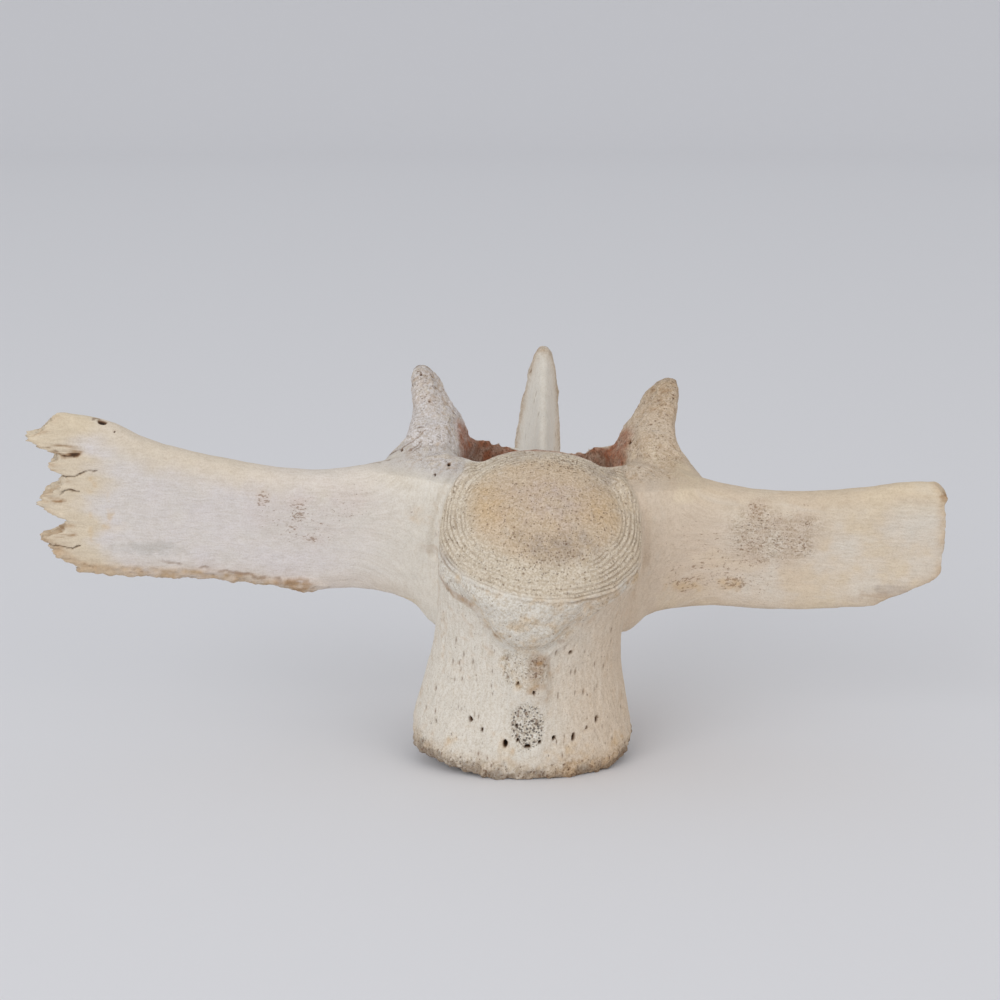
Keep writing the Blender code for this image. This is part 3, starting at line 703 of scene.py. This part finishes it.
def paint_wings(bone, masks, paint):
    """Cream edges, lilac middle and browned ends of the transverse processes, with painted side light: cooler
    on the left wing, warmer on the right.
    """
    points, u, c = bone.points, bone.u, bone.c
    mottle, fine = paint.mottle, paint.fine
    # Partly painted light: the warmer honey and sand towards the viewer's right are the shaded side, the
    # cooler lavender on the left wing the lit side; the rest is the bone's own tone.
    paint.lay(HONEY_AND_SIDE_SHADE, ramp(u + 6.0 * mottle, -4.0, 22.0) * ramp(u, 62.0, 40.0) * 0.9)
    paint.lay(SAND_AND_SIDE_SHADE, ramp(u, 40.0, 62.0) * (0.6 + 0.7 * mottle))
    paint.lay(LAVENDER_AND_SIDE_LIGHT, bone.wing * ramp(u, -26.0, -60.0) * (0.75 + 0.4 * mottle))
    near_end = ramp(bone.from_left_end + 4.0 * mottle, 16.0, 7.0)
    paint.lay(CREAM, bone.wing * (u < 0) * near_end * 0.85)
    upper = bone.wing * ramp(bone.from_upper + 3.0 * mottle, 9.0, 1.0)
    paint.lay(CREAM, upper * (0.25 + 0.4 * ramp(bone.side, 50.0, 80.0)))
    # Tan along the wings' upper and lower edges: partly the edges' own colour, partly painted shade where the
    # edges turn away.
    paint.lay(TAN, bone.wing * (u > 0) * ramp(bone.from_upper + fine, 6.0, 0.5) * 0.35)
    paint.lay(TAN, bone.wing * (u > 0) * ramp(bone.from_lower + fine, 6.0, 0.5) * 0.3)
    paint.lay(TAN, bone.wing * (u < 0) * ramp(bone.from_lower + fine, 8.0, 3.0) * 0.2)
    paint.lay(CREAM, bone.wing * (u > 0) * ramp(mottle, -0.1, 0.5) * 0.6)
    scratches = np.maximum(
        band(u + 1.5 * mottle, -112.0, -110.4, 0.7) * band(c, 46.0, 65.0, 3.0),
        band(u - 0.1 * (c - 56.0) + 1.2 * mottle, -108.0, -106.2, 0.6) * band(c, 50.0, 62.0, 2.0))
    paint.lay(OCHRE, bone.wing * scratches * ramp(fine + 0.6 * mottle, -0.1, 0.6) * 0.6)
    lengthwise = only(bone.wing, points, lambda p: fractal(p, (5.0, 1.5, 0.9), 3, 104))
    paint.lay(TAN, masks["lower_rim"] * (0.62 + 0.7 * fine))
    browned = masks["lower_rim"] * ramp(lengthwise + fine, 0.15, 0.7) * ramp(u, -92.0, -70.0)
    paint.lay(RUST, browned * 0.45)
    paint.lay(RUST, masks["lump"] * ramp(lengthwise + fine, -0.3, 0.5) * 0.7)
    grey = blob(points, (-98.0, 30.0, 44.0), (7.0, 9.0, 1.6), 0.8, 103, 0.8)
    paint.lay(SLATE, bone.wing * grey * 0.6)
    paint.lay(RUST, masks["layered"] * ramp(lengthwise, -0.3, 0.2) * 0.85)
    for place, radii in (((-118.8, 30.0, 47.5), (2.8, 8.0, 1.5)), ((-120.2, 30.0, 56.6), (1.8, 8.0, 0.8))):
        spot = blob(points, place, radii, 0.6, 114, 0.5)
        paint.lay(RUST, bone.wing * spot * ramp(lengthwise, -0.3, 0.3))
    teeth = masks["end_left"] * ramp(bone.from_left_end + 1.5 * fine, 3.0, 0.8)
    paint.lay(TAN, teeth * ramp(lengthwise + 0.5 * fine, -0.2, 0.5) * 0.8)
    paint.lay(TAN, masks["end_right"] * (0.3 + 0.6 * fine))
    tip = blob(points, (100.4, 31.0, 69.6), (1.5, 5.0, 1.2), 0.5, 107, 0.5)
    paint.lay(RUST, bone.wing * tip * (0.5 + 0.7 * lengthwise))
    bruise = bone.wing * blob(points, (90.5, 29.0, 42.2), (4.6, 8.0, 1.6), 0.8, 108, 0.7)
    paint.lay(SMUDGE, bruise * (0.4 + 0.6 * lengthwise))
    brown = bone.wing * blob(points, (86.0, 29.0, 40.0), (4.5, 8.0, 1.3), 0.8, 110, 0.7)
    paint.lay(RUST, brown * (0.3 + 0.6 * lengthwise))


def paint_head(bone, masks, paint):
    """The tan dome, its smudges, the paler rings, the blotched chin, and painted shade under the ledge."""
    points, u, d = bone.points, bone.u, bone.d
    mottle, fine = paint.mottle, paint.fine
    paint.lay(RINGED, masks["cap"] * 0.8)
    paint.lay(DOME, masks["centre"] * (0.85 + 0.3 * mottle))
    for place, radii in (((-12.0, 20.0, 66.5), (6.0, 7.0, 4.0)), ((15.5, 21.0, 66.0), (6.0, 8.0, 4.0))):
        golden = masks["cap"] * blob(points, place, radii, 0.8, 109, 0.8)
        paint.lay(OCHRE, golden * (0.4 + 0.4 * fine))
    lilac = masks["cap"] * blob(points, (2.0, 19.0, 68.0), (9.0, 8.0, 4.0), 0.8, 111, 0.9)
    paint.lay(LILAC, lilac * (0.5 + 0.6 * fine))
    paint.lay(LILAC, masks["cap"] * ramp(d, 36.0, 41.0) * 0.8)
    smudges = (((4.5, 9.6, 61.0), (9.0, 5.5, 3.4), 0.8), ((14.6, 31.0, 70.1), (4.0, 6.0, 3.6), 0.7),
               ((-6.0, 35.0, 71.5), (6.0, 3.0, 3.0), 0.6), ((-22.9, 15.3, 53.2), (3.0, 4.0, 1.5), 0.9))
    for place, radii, strength in smudges:
        smudge = blob(points, place, radii, 0.7, 113, 0.7)
        paint.lay(SMUDGE, bone.head * smudge * strength * (0.55 + 0.9 * fine))
    # Painted shade, brown, under the head's overhanging ledge on the viewer's left.
    under_ledge_shade = band(bone.above_ledge, -1.6, 0.2, 0.6) * bone.front * (0.6 + 0.7 * fine)
    paint.lay(RUST, under_ledge_shade * ramp(u, -11.0, -17.0) * 0.8)
    blotches = only(masks["rough"], points, lambda p: fractal(p, 3.0, 4, 119, 0.7))
    paint.lay(OCHRE, ramp(blotches, -0.15, 0.5) * 0.6)
    paint.lay(CHALK, masks["rough"] * ramp(-blotches, -0.1, 0.35) * 0.8)
    chin_edge = band(bone.above_ledge, -0.2, 1.0, 0.5) * bone.front * band(u, -9.0, 7.0, 3.0)
    paint.lay(RUST, chin_edge * ramp(fine + mottle, -0.1, 0.5) * 0.7)


def paint_body(bone, masks, paint):
    """The body's front and its rim."""
    points, u, c = bone.points, bone.u, bone.c
    mottle, fine = paint.mottle, paint.fine
    under_chin = blob(points, (1.4, 5.0, 29.5), (2.6, 12.0, 7.5), 0.8, 117, 0.6)
    paint.lay(RUST, masks["shaft"] * under_chin * (0.5 + 0.9 * fine))
    paint.lay(OCHRE, masks["speckled"] * ramp(fine + mottle, -0.1, 0.8) * 0.75)
    paint.lay(TAN, masks["shaft"] * ramp(fine + 0.6 * mottle, 0.2, 0.85) * 0.5)
    paint.lay(CHALK, masks["sponge"] * 0.8)
    paint.lay(OCHRE, bone.front * ramp(mottle + 0.4 * fine, 0.1, 0.5) * ramp(c, 13.0, 5.0) * 0.5)
    # Partly painted side light: the rim's own tan grows deeper towards the viewer's right, the shaded side,
    # and chalky patches lie only on the lit left.
    paint.lay(TAN, masks["rim"] * (0.5 + 0.9 * fine) * (0.7 + 0.3 * ramp(u, -2.0, 18.0)))
    paint.lay(CHALK, masks["rim"] * ramp(mottle + fine, 0.0, 0.6) * ramp(u, 12.0, -4.0) * 0.7)
    # Darker towards the bottom of the rim, where it stands on the table: painted contact shade with dirt.
    paint.lay(FOOT_SHADE_AND_DIRT, masks["rim"] * ramp(c + 2.5 * fine, 2.4, 0.0) * 0.6)


def paint_flecked_places(bone, masks, paint):
    """What lies under the rusty flecks."""
    points = bone.points
    mottle, fine = paint.mottle, paint.fine
    paint.lay(PATCH, masks["patch"] * (0.15 + 0.8 * mottle))
    golden = blob(points, (-29.0, 28.0, 58.0), (2.6, 8.0, 2.2), 0.7, 123, 0.6)
    paint.lay(OCHRE, golden * bone.wing * (0.5 + 0.8 * fine))
    paint.lay(HAZE, fleck_density(bone) * (0.3 + 0.5 * mottle))
    for place, radii in (((50.3, 31.0, 40.6), (3.4, 8.0, 1.8)), ((38.0, 31.0, 39.6), (3.6, 8.0, 1.6))):
        orange = blob(points, place, radii, 0.9, 121, 0.6)
        paint.lay(OCHRE, bone.wing * orange * (0.5 + 0.6 * fine))


def paint_processes(bone, masks, paint):
    """The articular processes with painted side light, brown lines, worn rear ends, and painted shade with a
    reddish reflection inside the canal.
    """
    u = bone.u
    mottle, fine = paint.mottle, paint.fine
    # Partly painted side light: lavender on the lit left process, more tan and rust on the shaded right one
    # and its tip.
    paint.lay(LAVENDER_AND_SIDE_LIGHT, bone.process * ramp(u, 4.0, -4.0) * 0.8)
    paint.lay(TAN, bone.process * ramp(u, -4.0, 4.0) * (0.2 + 0.4 * mottle))
    paint.lay(TAN, masks["tips"] * (0.1 + 0.3 * ramp(u, -4.0, 4.0) + 0.6 * fine))
    paint.lay(RUST, masks["tips"] * ramp(fine, 0.15, 0.6) * (0.4 + 0.3 * ramp(u, -4.0, 4.0)))
    paint.lay(TAN, bone.process * ramp(-masks["streaks"], 0.1, 0.5) * 0.5)
    paint.lay(CREAM, bone.process * ramp(masks["streaks"] + mottle, 0.2, 0.6) * 0.4)
    paint.lay(STAIN, masks["lines"])
    paint.lay(TAN, masks["ends"] * (0.5 + 0.6 * fine))
    # Painted shade inside the canal, with a painted reddish-brown reflection.
    paint.lay(CANAL_SHADE_AND_REFLECTION, inside_canal(bone) * (0.8 + 0.6 * fine))


def bone_tones(bone, masks):
    """The bone's colour at each point, before the finest grain."""
    paint = Paint(bone)
    for lay in (paint_wings, paint_head, paint_body, paint_flecked_places, paint_processes):
        lay(bone, masks, paint)
    return paint.tones * (1.0 + 0.05 * paint.fine + 0.04 * paint.mottle)[:, None]


def grain_space(bone):
    """Coordinates in millimetres, squeezed along the bone's grain so that patterns stretch along it."""
    u, d, c = bone.u, bone.d, bone.c
    squeeze = GRAIN_SQUEEZE
    flank, middle = 30.0, 52.0
    upright = np.stack([u, d, middle + (c - middle) * squeeze], axis=1)
    sideways = np.stack([np.sign(u) * (flank + (bone.side - flank) * squeeze), d, c], axis=1)
    along, across = (c - bone.side) * 0.7, (c + bone.side) * 0.7
    slanting = np.stack([across, d, along * squeeze], axis=1)
    outward = np.stack([u, SPINE_CUT + (d - SPINE_CUT) * squeeze, c], axis=1)
    space = upright
    wing = ramp(bone.side, 24.0, 46.0) * ramp(d, 48.0, 40.0)
    for other, mask in ((sideways, wing), (slanting, bone.process), (outward, ramp(d, 68.0, 80.0)),
                        (bone.points, bone.head)):
        space = space * (1.0 - mask[:, None]) + other * mask[:, None]
    return space


def porosity(bone, masks):
    """How thickly the finest pores lie, from 0 to 1."""
    porous = 0.16 + 0.14 * fractal(bone.points, 12.0, 3, 141)
    crown = masks["cap"] * blob(bone.points, (4.0, 31.5, 71.8), (13.0, 4.5, 4.0), 0.6, 143, 0.8)
    smudged = bone.head * blob(bone.points, (5.0, 8.0, 59.5), (12.0, 6.0, 5.0), 0.5, 145, 0.6)
    for mask, amount in ((masks["shaft"], 0.36), (masks["speckled"], 0.66), (masks["rim"], 0.72),
                         (masks["sponge"], 0.8), (masks["cap"], 0.56), (crown, 0.88), (smudged, 0.66),
                         (masks["patch"], 0.5), (bone.process, 0.58), (masks["tips"], 0.72),
                         (masks["rough"], 0.45), (masks["ends"], 0.6), (inside_canal(bone), 0.8)):
        porous = np.maximum(porous, amount * mask)
    return porous


def fleck_density(bone):
    """How thickly rusty flecks lie on the wings, from 0 to 1."""
    density = np.zeros(len(bone.points))
    for index, (strength, place, radii) in enumerate(FLECKS):
        cluster = blob(bone.points, place, radii, 0.6, 171 + 3 * index, 0.6)
        density = np.maximum(density, strength * cluster)
    return density * bone.wing * (bone.normals[:, 1] < 0.3)


def splinters(bone):
    """How far the broken end's points are drawn out sideways, in millimetres."""
    near = ramp(bone.from_left_end, 6.0, 0.5) * (bone.u < -90.0) * (bone.d < 41.0)
    crest = only(near, bone.points, lambda p: 1.0 - 2.2 * np.abs(fractal(p, (9.0, 3.4, 2.6), 3, 151)))
    fine = only(near, bone.points, lambda p: 1.0 - 2.0 * np.abs(fractal(p, (4.0, 1.4, 1.0), 2, 157)))
    return np.maximum(crest, 0.0) ** 2 * 0.8 + np.maximum(fine, 0.0) ** 2 * 1.1 - 1.0 * near


def dressed(skin):
    """The skin's points with the relief worked in, and the layers that its material reads."""
    mesh = skin.data
    points = to_bone(mesh_points(mesh))
    turn = np.array(bone_matrix())[:3, :3]
    bone = Bone(points, mesh_normals(mesh) @ turn)
    relief = worked(bone)
    masks = relief.masks
    moved = points + bone.normals * relief.height[:, None]
    moved[:, 0] -= splinters(bone)
    moved = to_frame(moved)
    moved[:, 2] = np.maximum(moved[:, 2], 0.0)
    tones = bone_tones(bone, masks)
    layers = {
        "tone": np.concatenate([tones, np.ones((len(tones), 1))], axis=1),
        "place": points,
        "grain": grain_space(bone),
        # the painted shade of the hollows
        "dark": relief.dark,
        "porous": porosity(bone, masks),
        "flecks": fleck_density(bone),
        "sponge": masks["sponge"],
        "reach": masks["reach"],
        "ringed": masks["ringed"],
    }
    return points, moved, layers


def region_masks(centres):
    """Which faces belong to each region's share of the skin, by the faces' centres in bone axes."""
    u, d, c = centres.T
    arch = d > ARCH_CUT
    wing = ~arch & (np.abs(u) > SIDE_CUT) & (c > SIDE_CUT_START)
    body = ~arch & ~wing
    cranial = arch & (c > CRANIAL_CUT)
    caudal = arch & (c < CAUDAL_CUT)
    spine = arch & ~cranial & ~caudal & (np.abs(u) < SPINE_HALF) & (d > SPINE_CUT)
    return (
        ("vertebral_body", "front", body & (d < BODY_HALVES)),
        ("vertebral_body", "rear", body & (d >= BODY_HALVES)),
        ("right_transverse_process", "all", wing & (u < 0.0)),
        ("left_transverse_process", "all", wing & (u > 0.0)),
        ("right_cranial_articular_process", "all", cranial & (u < 0.0)),
        ("left_cranial_articular_process", "all", cranial & (u >= 0.0)),
        ("right_caudal_articular_process", "all", caudal & (u < 0.0)),
        ("left_caudal_articular_process", "all", caudal & (u >= 0.0)),
        ("spinous_process", "all", spine),
        ("neural_arch", "all", arch & ~cranial & ~caudal & ~spine),
    )


# How a layer is kept on the mesh, by how many numbers it has for each point
LAYER_KINDS = {1: ("FLOAT", "value"), 3: ("FLOAT_VECTOR", "vector"), 4: ("FLOAT_COLOR", "color")}


def share_of_skin(name, quads, points, normals, layers):
    """A mesh of the given faces, whose normals and layers are those of the whole skin."""
    used, corners = np.unique(quads.ravel(), return_inverse=True)
    mesh = bpy.data.meshes.new(name)
    mesh.vertices.add(len(used))
    mesh.vertices.foreach_set("co", points[used].ravel())
    mesh.loops.add(len(corners))
    mesh.loops.foreach_set("vertex_index", corners.ravel())
    mesh.polygons.add(len(quads))
    mesh.polygons.foreach_set("loop_start", np.arange(0, len(corners), 4))
    mesh.update(calc_edges=True)
    mesh.shade_smooth()
    mesh.normals_split_custom_set_from_vertices(normals[used])
    for layer, values in layers.items():
        width = values[0].size
        kind, field = LAYER_KINDS[width]
        mesh.attributes.new(layer, kind, "POINT").data.foreach_set(field, values[used].ravel())
    piece = bpy.data.objects.new(name, mesh)
    bpy.context.scene.collection.objects.link(piece)
    return piece


def share_out(skin, material):
    """Dresses the whole skin, then gives each region its share and removes the whole."""
    centres, moved, layers = dressed(skin)
    mesh = skin.data
    set_points(mesh, moved)
    normals = mesh_normals(mesh)
    quads = np.empty(len(mesh.loops), dtype=np.int64)
    mesh.loops.foreach_get("vertex_index", quads)
    quads = quads.reshape(-1, 4)
    for node, part, mask in region_masks(centres[quads].mean(axis=1)):
        name = f"{node}_skin" if part == "all" else f"{node}_skin_{part}"
        piece = share_of_skin(name, quads[mask], moved, normals, layers)
        piece.data.materials.append(material)
        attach(piece, "root")
        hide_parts(node)
    bpy.data.objects.remove(skin)
    bpy.data.meshes.remove(mesh)


class Graph:
    """Short ways to add and join the nodes of one material."""

    def __init__(self, name):
        self.material = bpy.data.materials.new(name)
        self.material.use_nodes = True
        self.nodes = self.material.node_tree.nodes
        self.shader = self.nodes["Principled BSDF"]

    def join(self, source, target):
        self.material.node_tree.links.new(source, target)

    def fill(self, socket, value):
        if isinstance(value, bpy.types.NodeSocket):
            self.join(value, socket)
        else:
            socket.default_value = value

    def attribute(self, name, output):
        node = self.nodes.new("ShaderNodeAttribute")
        node.attribute_name = name
        return node.outputs[output]

    def noise(self, vector, scale, detail, roughness=0.55):
        node = self.nodes.new("ShaderNodeTexNoise")
        node.inputs["Scale"].default_value = scale
        node.inputs["Detail"].default_value = detail
        node.inputs["Roughness"].default_value = roughness
        self.join(vector, node.inputs["Vector"])
        return node.outputs["Fac"]

    def cells(self, vector, scale):
        node = self.nodes.new("ShaderNodeTexVoronoi")
        node.inputs["Scale"].default_value = scale
        self.join(vector, node.inputs["Vector"])
        return node.outputs["Distance"], node.outputs["Color"]

    def ramp(self, value, low, high, to_low=0.0, to_high=1.0):
        node = self.nodes.new("ShaderNodeMapRange")
        node.interpolation_type = "SMOOTHSTEP"
        self.fill(node.inputs["Value"], value)
        for name, number in (("From Min", low), ("From Max", high), ("To Min", to_low), ("To Max", to_high)):
            self.fill(node.inputs[name], number)
        return node.outputs["Result"]

    def math(self, kind, first, second):
        node = self.nodes.new("ShaderNodeMath")
        node.operation = kind
        self.fill(node.inputs[0], first)
        self.fill(node.inputs[1], second)
        return node.outputs[0]

    def mix(self, share, first, second, blend="MIX"):
        node = self.nodes.new("ShaderNodeMix")
        node.data_type = "RGBA"
        node.blend_type = blend
        self.fill(node.inputs["Factor"], share)
        self.fill(node.inputs["A"], first)
        self.fill(node.inputs["B"], second)
        return node.outputs["Result"]

    def blend(self, share, first, second):
        node = self.nodes.new("ShaderNodeMix")
        node.data_type = "VECTOR"
        node.inputs["Factor"].default_value = share
        vectors = {socket.name: socket for socket in node.inputs if socket.type == "VECTOR"}
        self.join(first, vectors["A"])
        self.join(second, vectors["B"])
        return [socket for socket in node.outputs if socket.type == "VECTOR"][0]

    def bump(self, height, reach, strength=1.0):
        node = self.nodes.new("ShaderNodeBump")
        node.inputs["Distance"].default_value = reach
        node.inputs["Strength"].default_value = strength
        self.join(height, node.inputs["Height"])
        self.join(node.outputs["Normal"], self.shader.inputs["Normal"])


def bone_material():
    """Chalky weathered bone: fibres, pores, flecks and growth lines over the skin's own tones, with painted
    shade in the pores, holes, hollows and ring grooves.
    """
    graph = Graph("bone")
    tone = graph.attribute("tone", "Color")
    dark = graph.attribute("dark", "Fac")
    porous = graph.attribute("porous", "Fac")
    flecks = graph.attribute("flecks", "Fac")
    sponge = graph.attribute("sponge", "Fac")
    grain = graph.attribute("grain", "Vector")
    place = graph.attribute("place", "Vector")
    between = graph.blend(0.5, place, grain)

    fibre = graph.noise(grain, 1.5, 8.0, 0.72)
    grit = graph.noise(place, 2.4, 3.0, 0.6)
    meal = graph.noise(place, 1.2, 3.0, 0.6)
    cloud = graph.noise(grain, 0.35, 4.0)
    dash_gap, dash_colour = graph.cells(between, 1.1)
    speck_gap, speck_colour = graph.cells(place, 2.1)
    hole_gap, hole_colour = graph.cells(place, 1.3)

    dash_size = graph.math("MULTIPLY", graph.math("SUBTRACT", porous, dash_colour), 0.62)
    dash = graph.ramp(graph.math("SUBTRACT", dash_size, dash_gap), -0.06, 0.08)
    speck_size = graph.math("MULTIPLY", graph.math("SUBTRACT", porous, speck_colour), 0.85)
    speck = graph.ramp(graph.math("SUBTRACT", speck_size, speck_gap), -0.06, 0.1)
    hole_size = graph.math("SUBTRACT", sponge, graph.math("MULTIPLY", hole_colour, 0.4))
    hole_size = graph.math("MULTIPLY", hole_size, 0.43)
    hole = graph.ramp(graph.math("SUBTRACT", hole_size, hole_gap), -0.04, 0.06)
    spread = graph.math("MULTIPLY", flecks, 0.3)
    fleck = graph.ramp(graph.math("ADD", graph.noise(between, 1.7, 3.0, 0.62), spread), 0.75, 0.82)

    # The rings' grooves painted darker: partly the growth lines' own colour, partly painted shade in the
    # grooves.
    turn = graph.math("MULTIPLY", graph.attribute("reach", "Fac"), 2.0 * math.pi / RING_SPACING)
    line = graph.ramp(graph.math("COSINE", turn, 0.0), -0.2, -0.95)
    line = graph.math("MULTIPLY", line, graph.attribute("ringed", "Fac"))

    lively = graph.ramp(porous, 0.1, 0.7, 0.42, 1.0)
    dim = graph.math("ADD", graph.ramp(fibre, 0.62, 0.36, 0.0, 0.66), graph.ramp(grit, 0.58, 0.38, 0.0, 0.66))
    mealy = graph.math("MULTIPLY", graph.ramp(meal, 0.5, 0.36, 0.0, 1.0), graph.ramp(porous, 0.3, 0.6))
    dim = graph.math("ADD", dim, mealy)
    dim = graph.math("MULTIPLY", dim, lively)
    colour = graph.mix(dim, tone, graph.mix(1.0, tone, DEEP, "MULTIPLY"))
    colour = graph.mix(graph.ramp(cloud, 0.55, 0.75, 0.0, 0.2), colour, (*linear(*CHALK), 1.0))
    colour = graph.mix(graph.math("MULTIPLY", line, 0.5), colour, (*linear(*RING_LINE_AND_GROOVE_SHADE), 1.0))
    # The pores and sponge holes are painted shade; the flecks are rusty stains.
    marks = ((dash, 0.6, PORE_SHADE), (speck, 0.5, PORE_SHADE), (fleck, 0.62, STAIN), (hole, 0.72, HOLLOW_SHADE))
    for mask, share, shade in marks:
        colour = graph.mix(graph.math("MULTIPLY", mask, share), colour, (*linear(*shade), 1.0))
    # Painted shade in the hollows, from the skin's dark layer.
    colour = graph.mix(graph.ramp(dark, 0.0, 0.65), colour, (*linear(*PORE_SHADE), 1.0))
    colour = graph.mix(graph.ramp(dark, 0.5, 0.95), colour, (*linear(*HOLLOW_SHADE), 1.0))
    graph.join(colour, graph.shader.inputs["Base Color"])

    dip = graph.math("MAXIMUM", graph.math("MAXIMUM", dash, speck), graph.math("MAXIMUM", hole, line))
    height = graph.math("ADD", fibre, graph.math("MULTIPLY", grit, 0.5))
    height = graph.math("SUBTRACT", height, graph.math("MULTIPLY", dip, 0.7))
    graph.bump(height, FINE_RELIEF_M)
    graph.shader.inputs["Roughness"].default_value = ROUGHNESS
    graph.shader.inputs["Specular IOR Level"].default_value = GLOSS
    return graph.material


def add_camera():
    data = bpy.data.cameras.new("camera")
    data.lens = CAMERA_LENS_MM
    data.sensor_width = CAMERA_SENSOR_MM
    data.sensor_fit = "HORIZONTAL"
    data.clip_end = 50.0
    camera = bpy.data.objects.new("camera", data)
    camera.location = Vector(CAMERA_MM) * MM
    camera.rotation_euler = (math.radians(90.0 - CAMERA_DOWN_DEG), 0.0, 0.0)
    bpy.context.scene.collection.objects.link(camera)
    bpy.context.scene.camera = camera


def add_light(name, location, size, power, colour):
    data = bpy.data.lights.new(name, "AREA")
    data.shape = "SQUARE"
    data.size = size
    data.energy = power
    data.color = colour
    light = bpy.data.objects.new(name, data)
    light.location = location
    light.rotation_euler = (-Vector(location)).to_track_quat("-Z", "Y").to_euler()
    bpy.context.scene.collection.objects.link(light)


def add_world():
    world = bpy.data.worlds.new("soft room")
    world.use_nodes = True
    background = world.node_tree.nodes["Background"]
    background.inputs["Color"].default_value = ROOM_COLOUR
    background.inputs["Strength"].default_value = ROOM_STRENGTH
    bpy.context.scene.world = world


def add_table():
    """A round pale table that sweeps up at its far edge into a low backdrop."""
    profile = [(TABLE_RADIUS_M * share, 0.0) for share in (0.0, 0.25, 0.5, 0.8)]
    for step in range(TABLE_SWEEP_STEPS + 1):
        angle = math.radians(90.0 * step / TABLE_SWEEP_STEPS)
        rise = TABLE_SWEEP_M * (1.0 - math.cos(angle))
        profile.append((TABLE_RADIUS_M + TABLE_SWEEP_M * math.sin(angle), rise))
    spokes = TABLE_SPOKES
    points = []
    for radius, level in profile[1:]:
        for spoke in range(spokes):
            turn = 2.0 * math.pi * spoke / spokes
            points.append((radius * math.cos(turn), radius * math.sin(turn), level))
    faces = [tuple(range(spokes))]
    for ring in range(len(profile) - 2):
        for spoke in range(spokes):
            after = (spoke + 1) % spokes
            faces.append((ring * spokes + spoke, (ring + 1) * spokes + spoke,
                          (ring + 1) * spokes + after, ring * spokes + after))
    mesh = bpy.data.meshes.new("table")
    mesh.from_pydata(points, [], faces)
    mesh.shade_smooth()
    material = bpy.data.materials.new("table")
    material.use_nodes = True
    shader = material.node_tree.nodes["Principled BSDF"]
    shader.inputs["Base Color"].default_value = TABLE_COLOUR
    shader.inputs["Roughness"].default_value = 0.8
    mesh.materials.append(material)
    table = bpy.data.objects.new("table", mesh)
    bpy.context.scene.collection.objects.link(table)


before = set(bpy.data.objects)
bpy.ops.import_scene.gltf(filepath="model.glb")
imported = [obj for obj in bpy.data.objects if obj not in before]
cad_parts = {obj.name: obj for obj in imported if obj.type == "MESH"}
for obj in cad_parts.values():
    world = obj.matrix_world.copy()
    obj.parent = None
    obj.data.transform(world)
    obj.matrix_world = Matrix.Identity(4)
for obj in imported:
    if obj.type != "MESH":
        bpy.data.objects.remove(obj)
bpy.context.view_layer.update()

share_out(grow_skin(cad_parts), bone_material())

add_camera()
for light in LIGHTS:
    add_light(*light)
bpy.context.scene.view_settings.view_transform = "Standard"
add_world()
add_table()
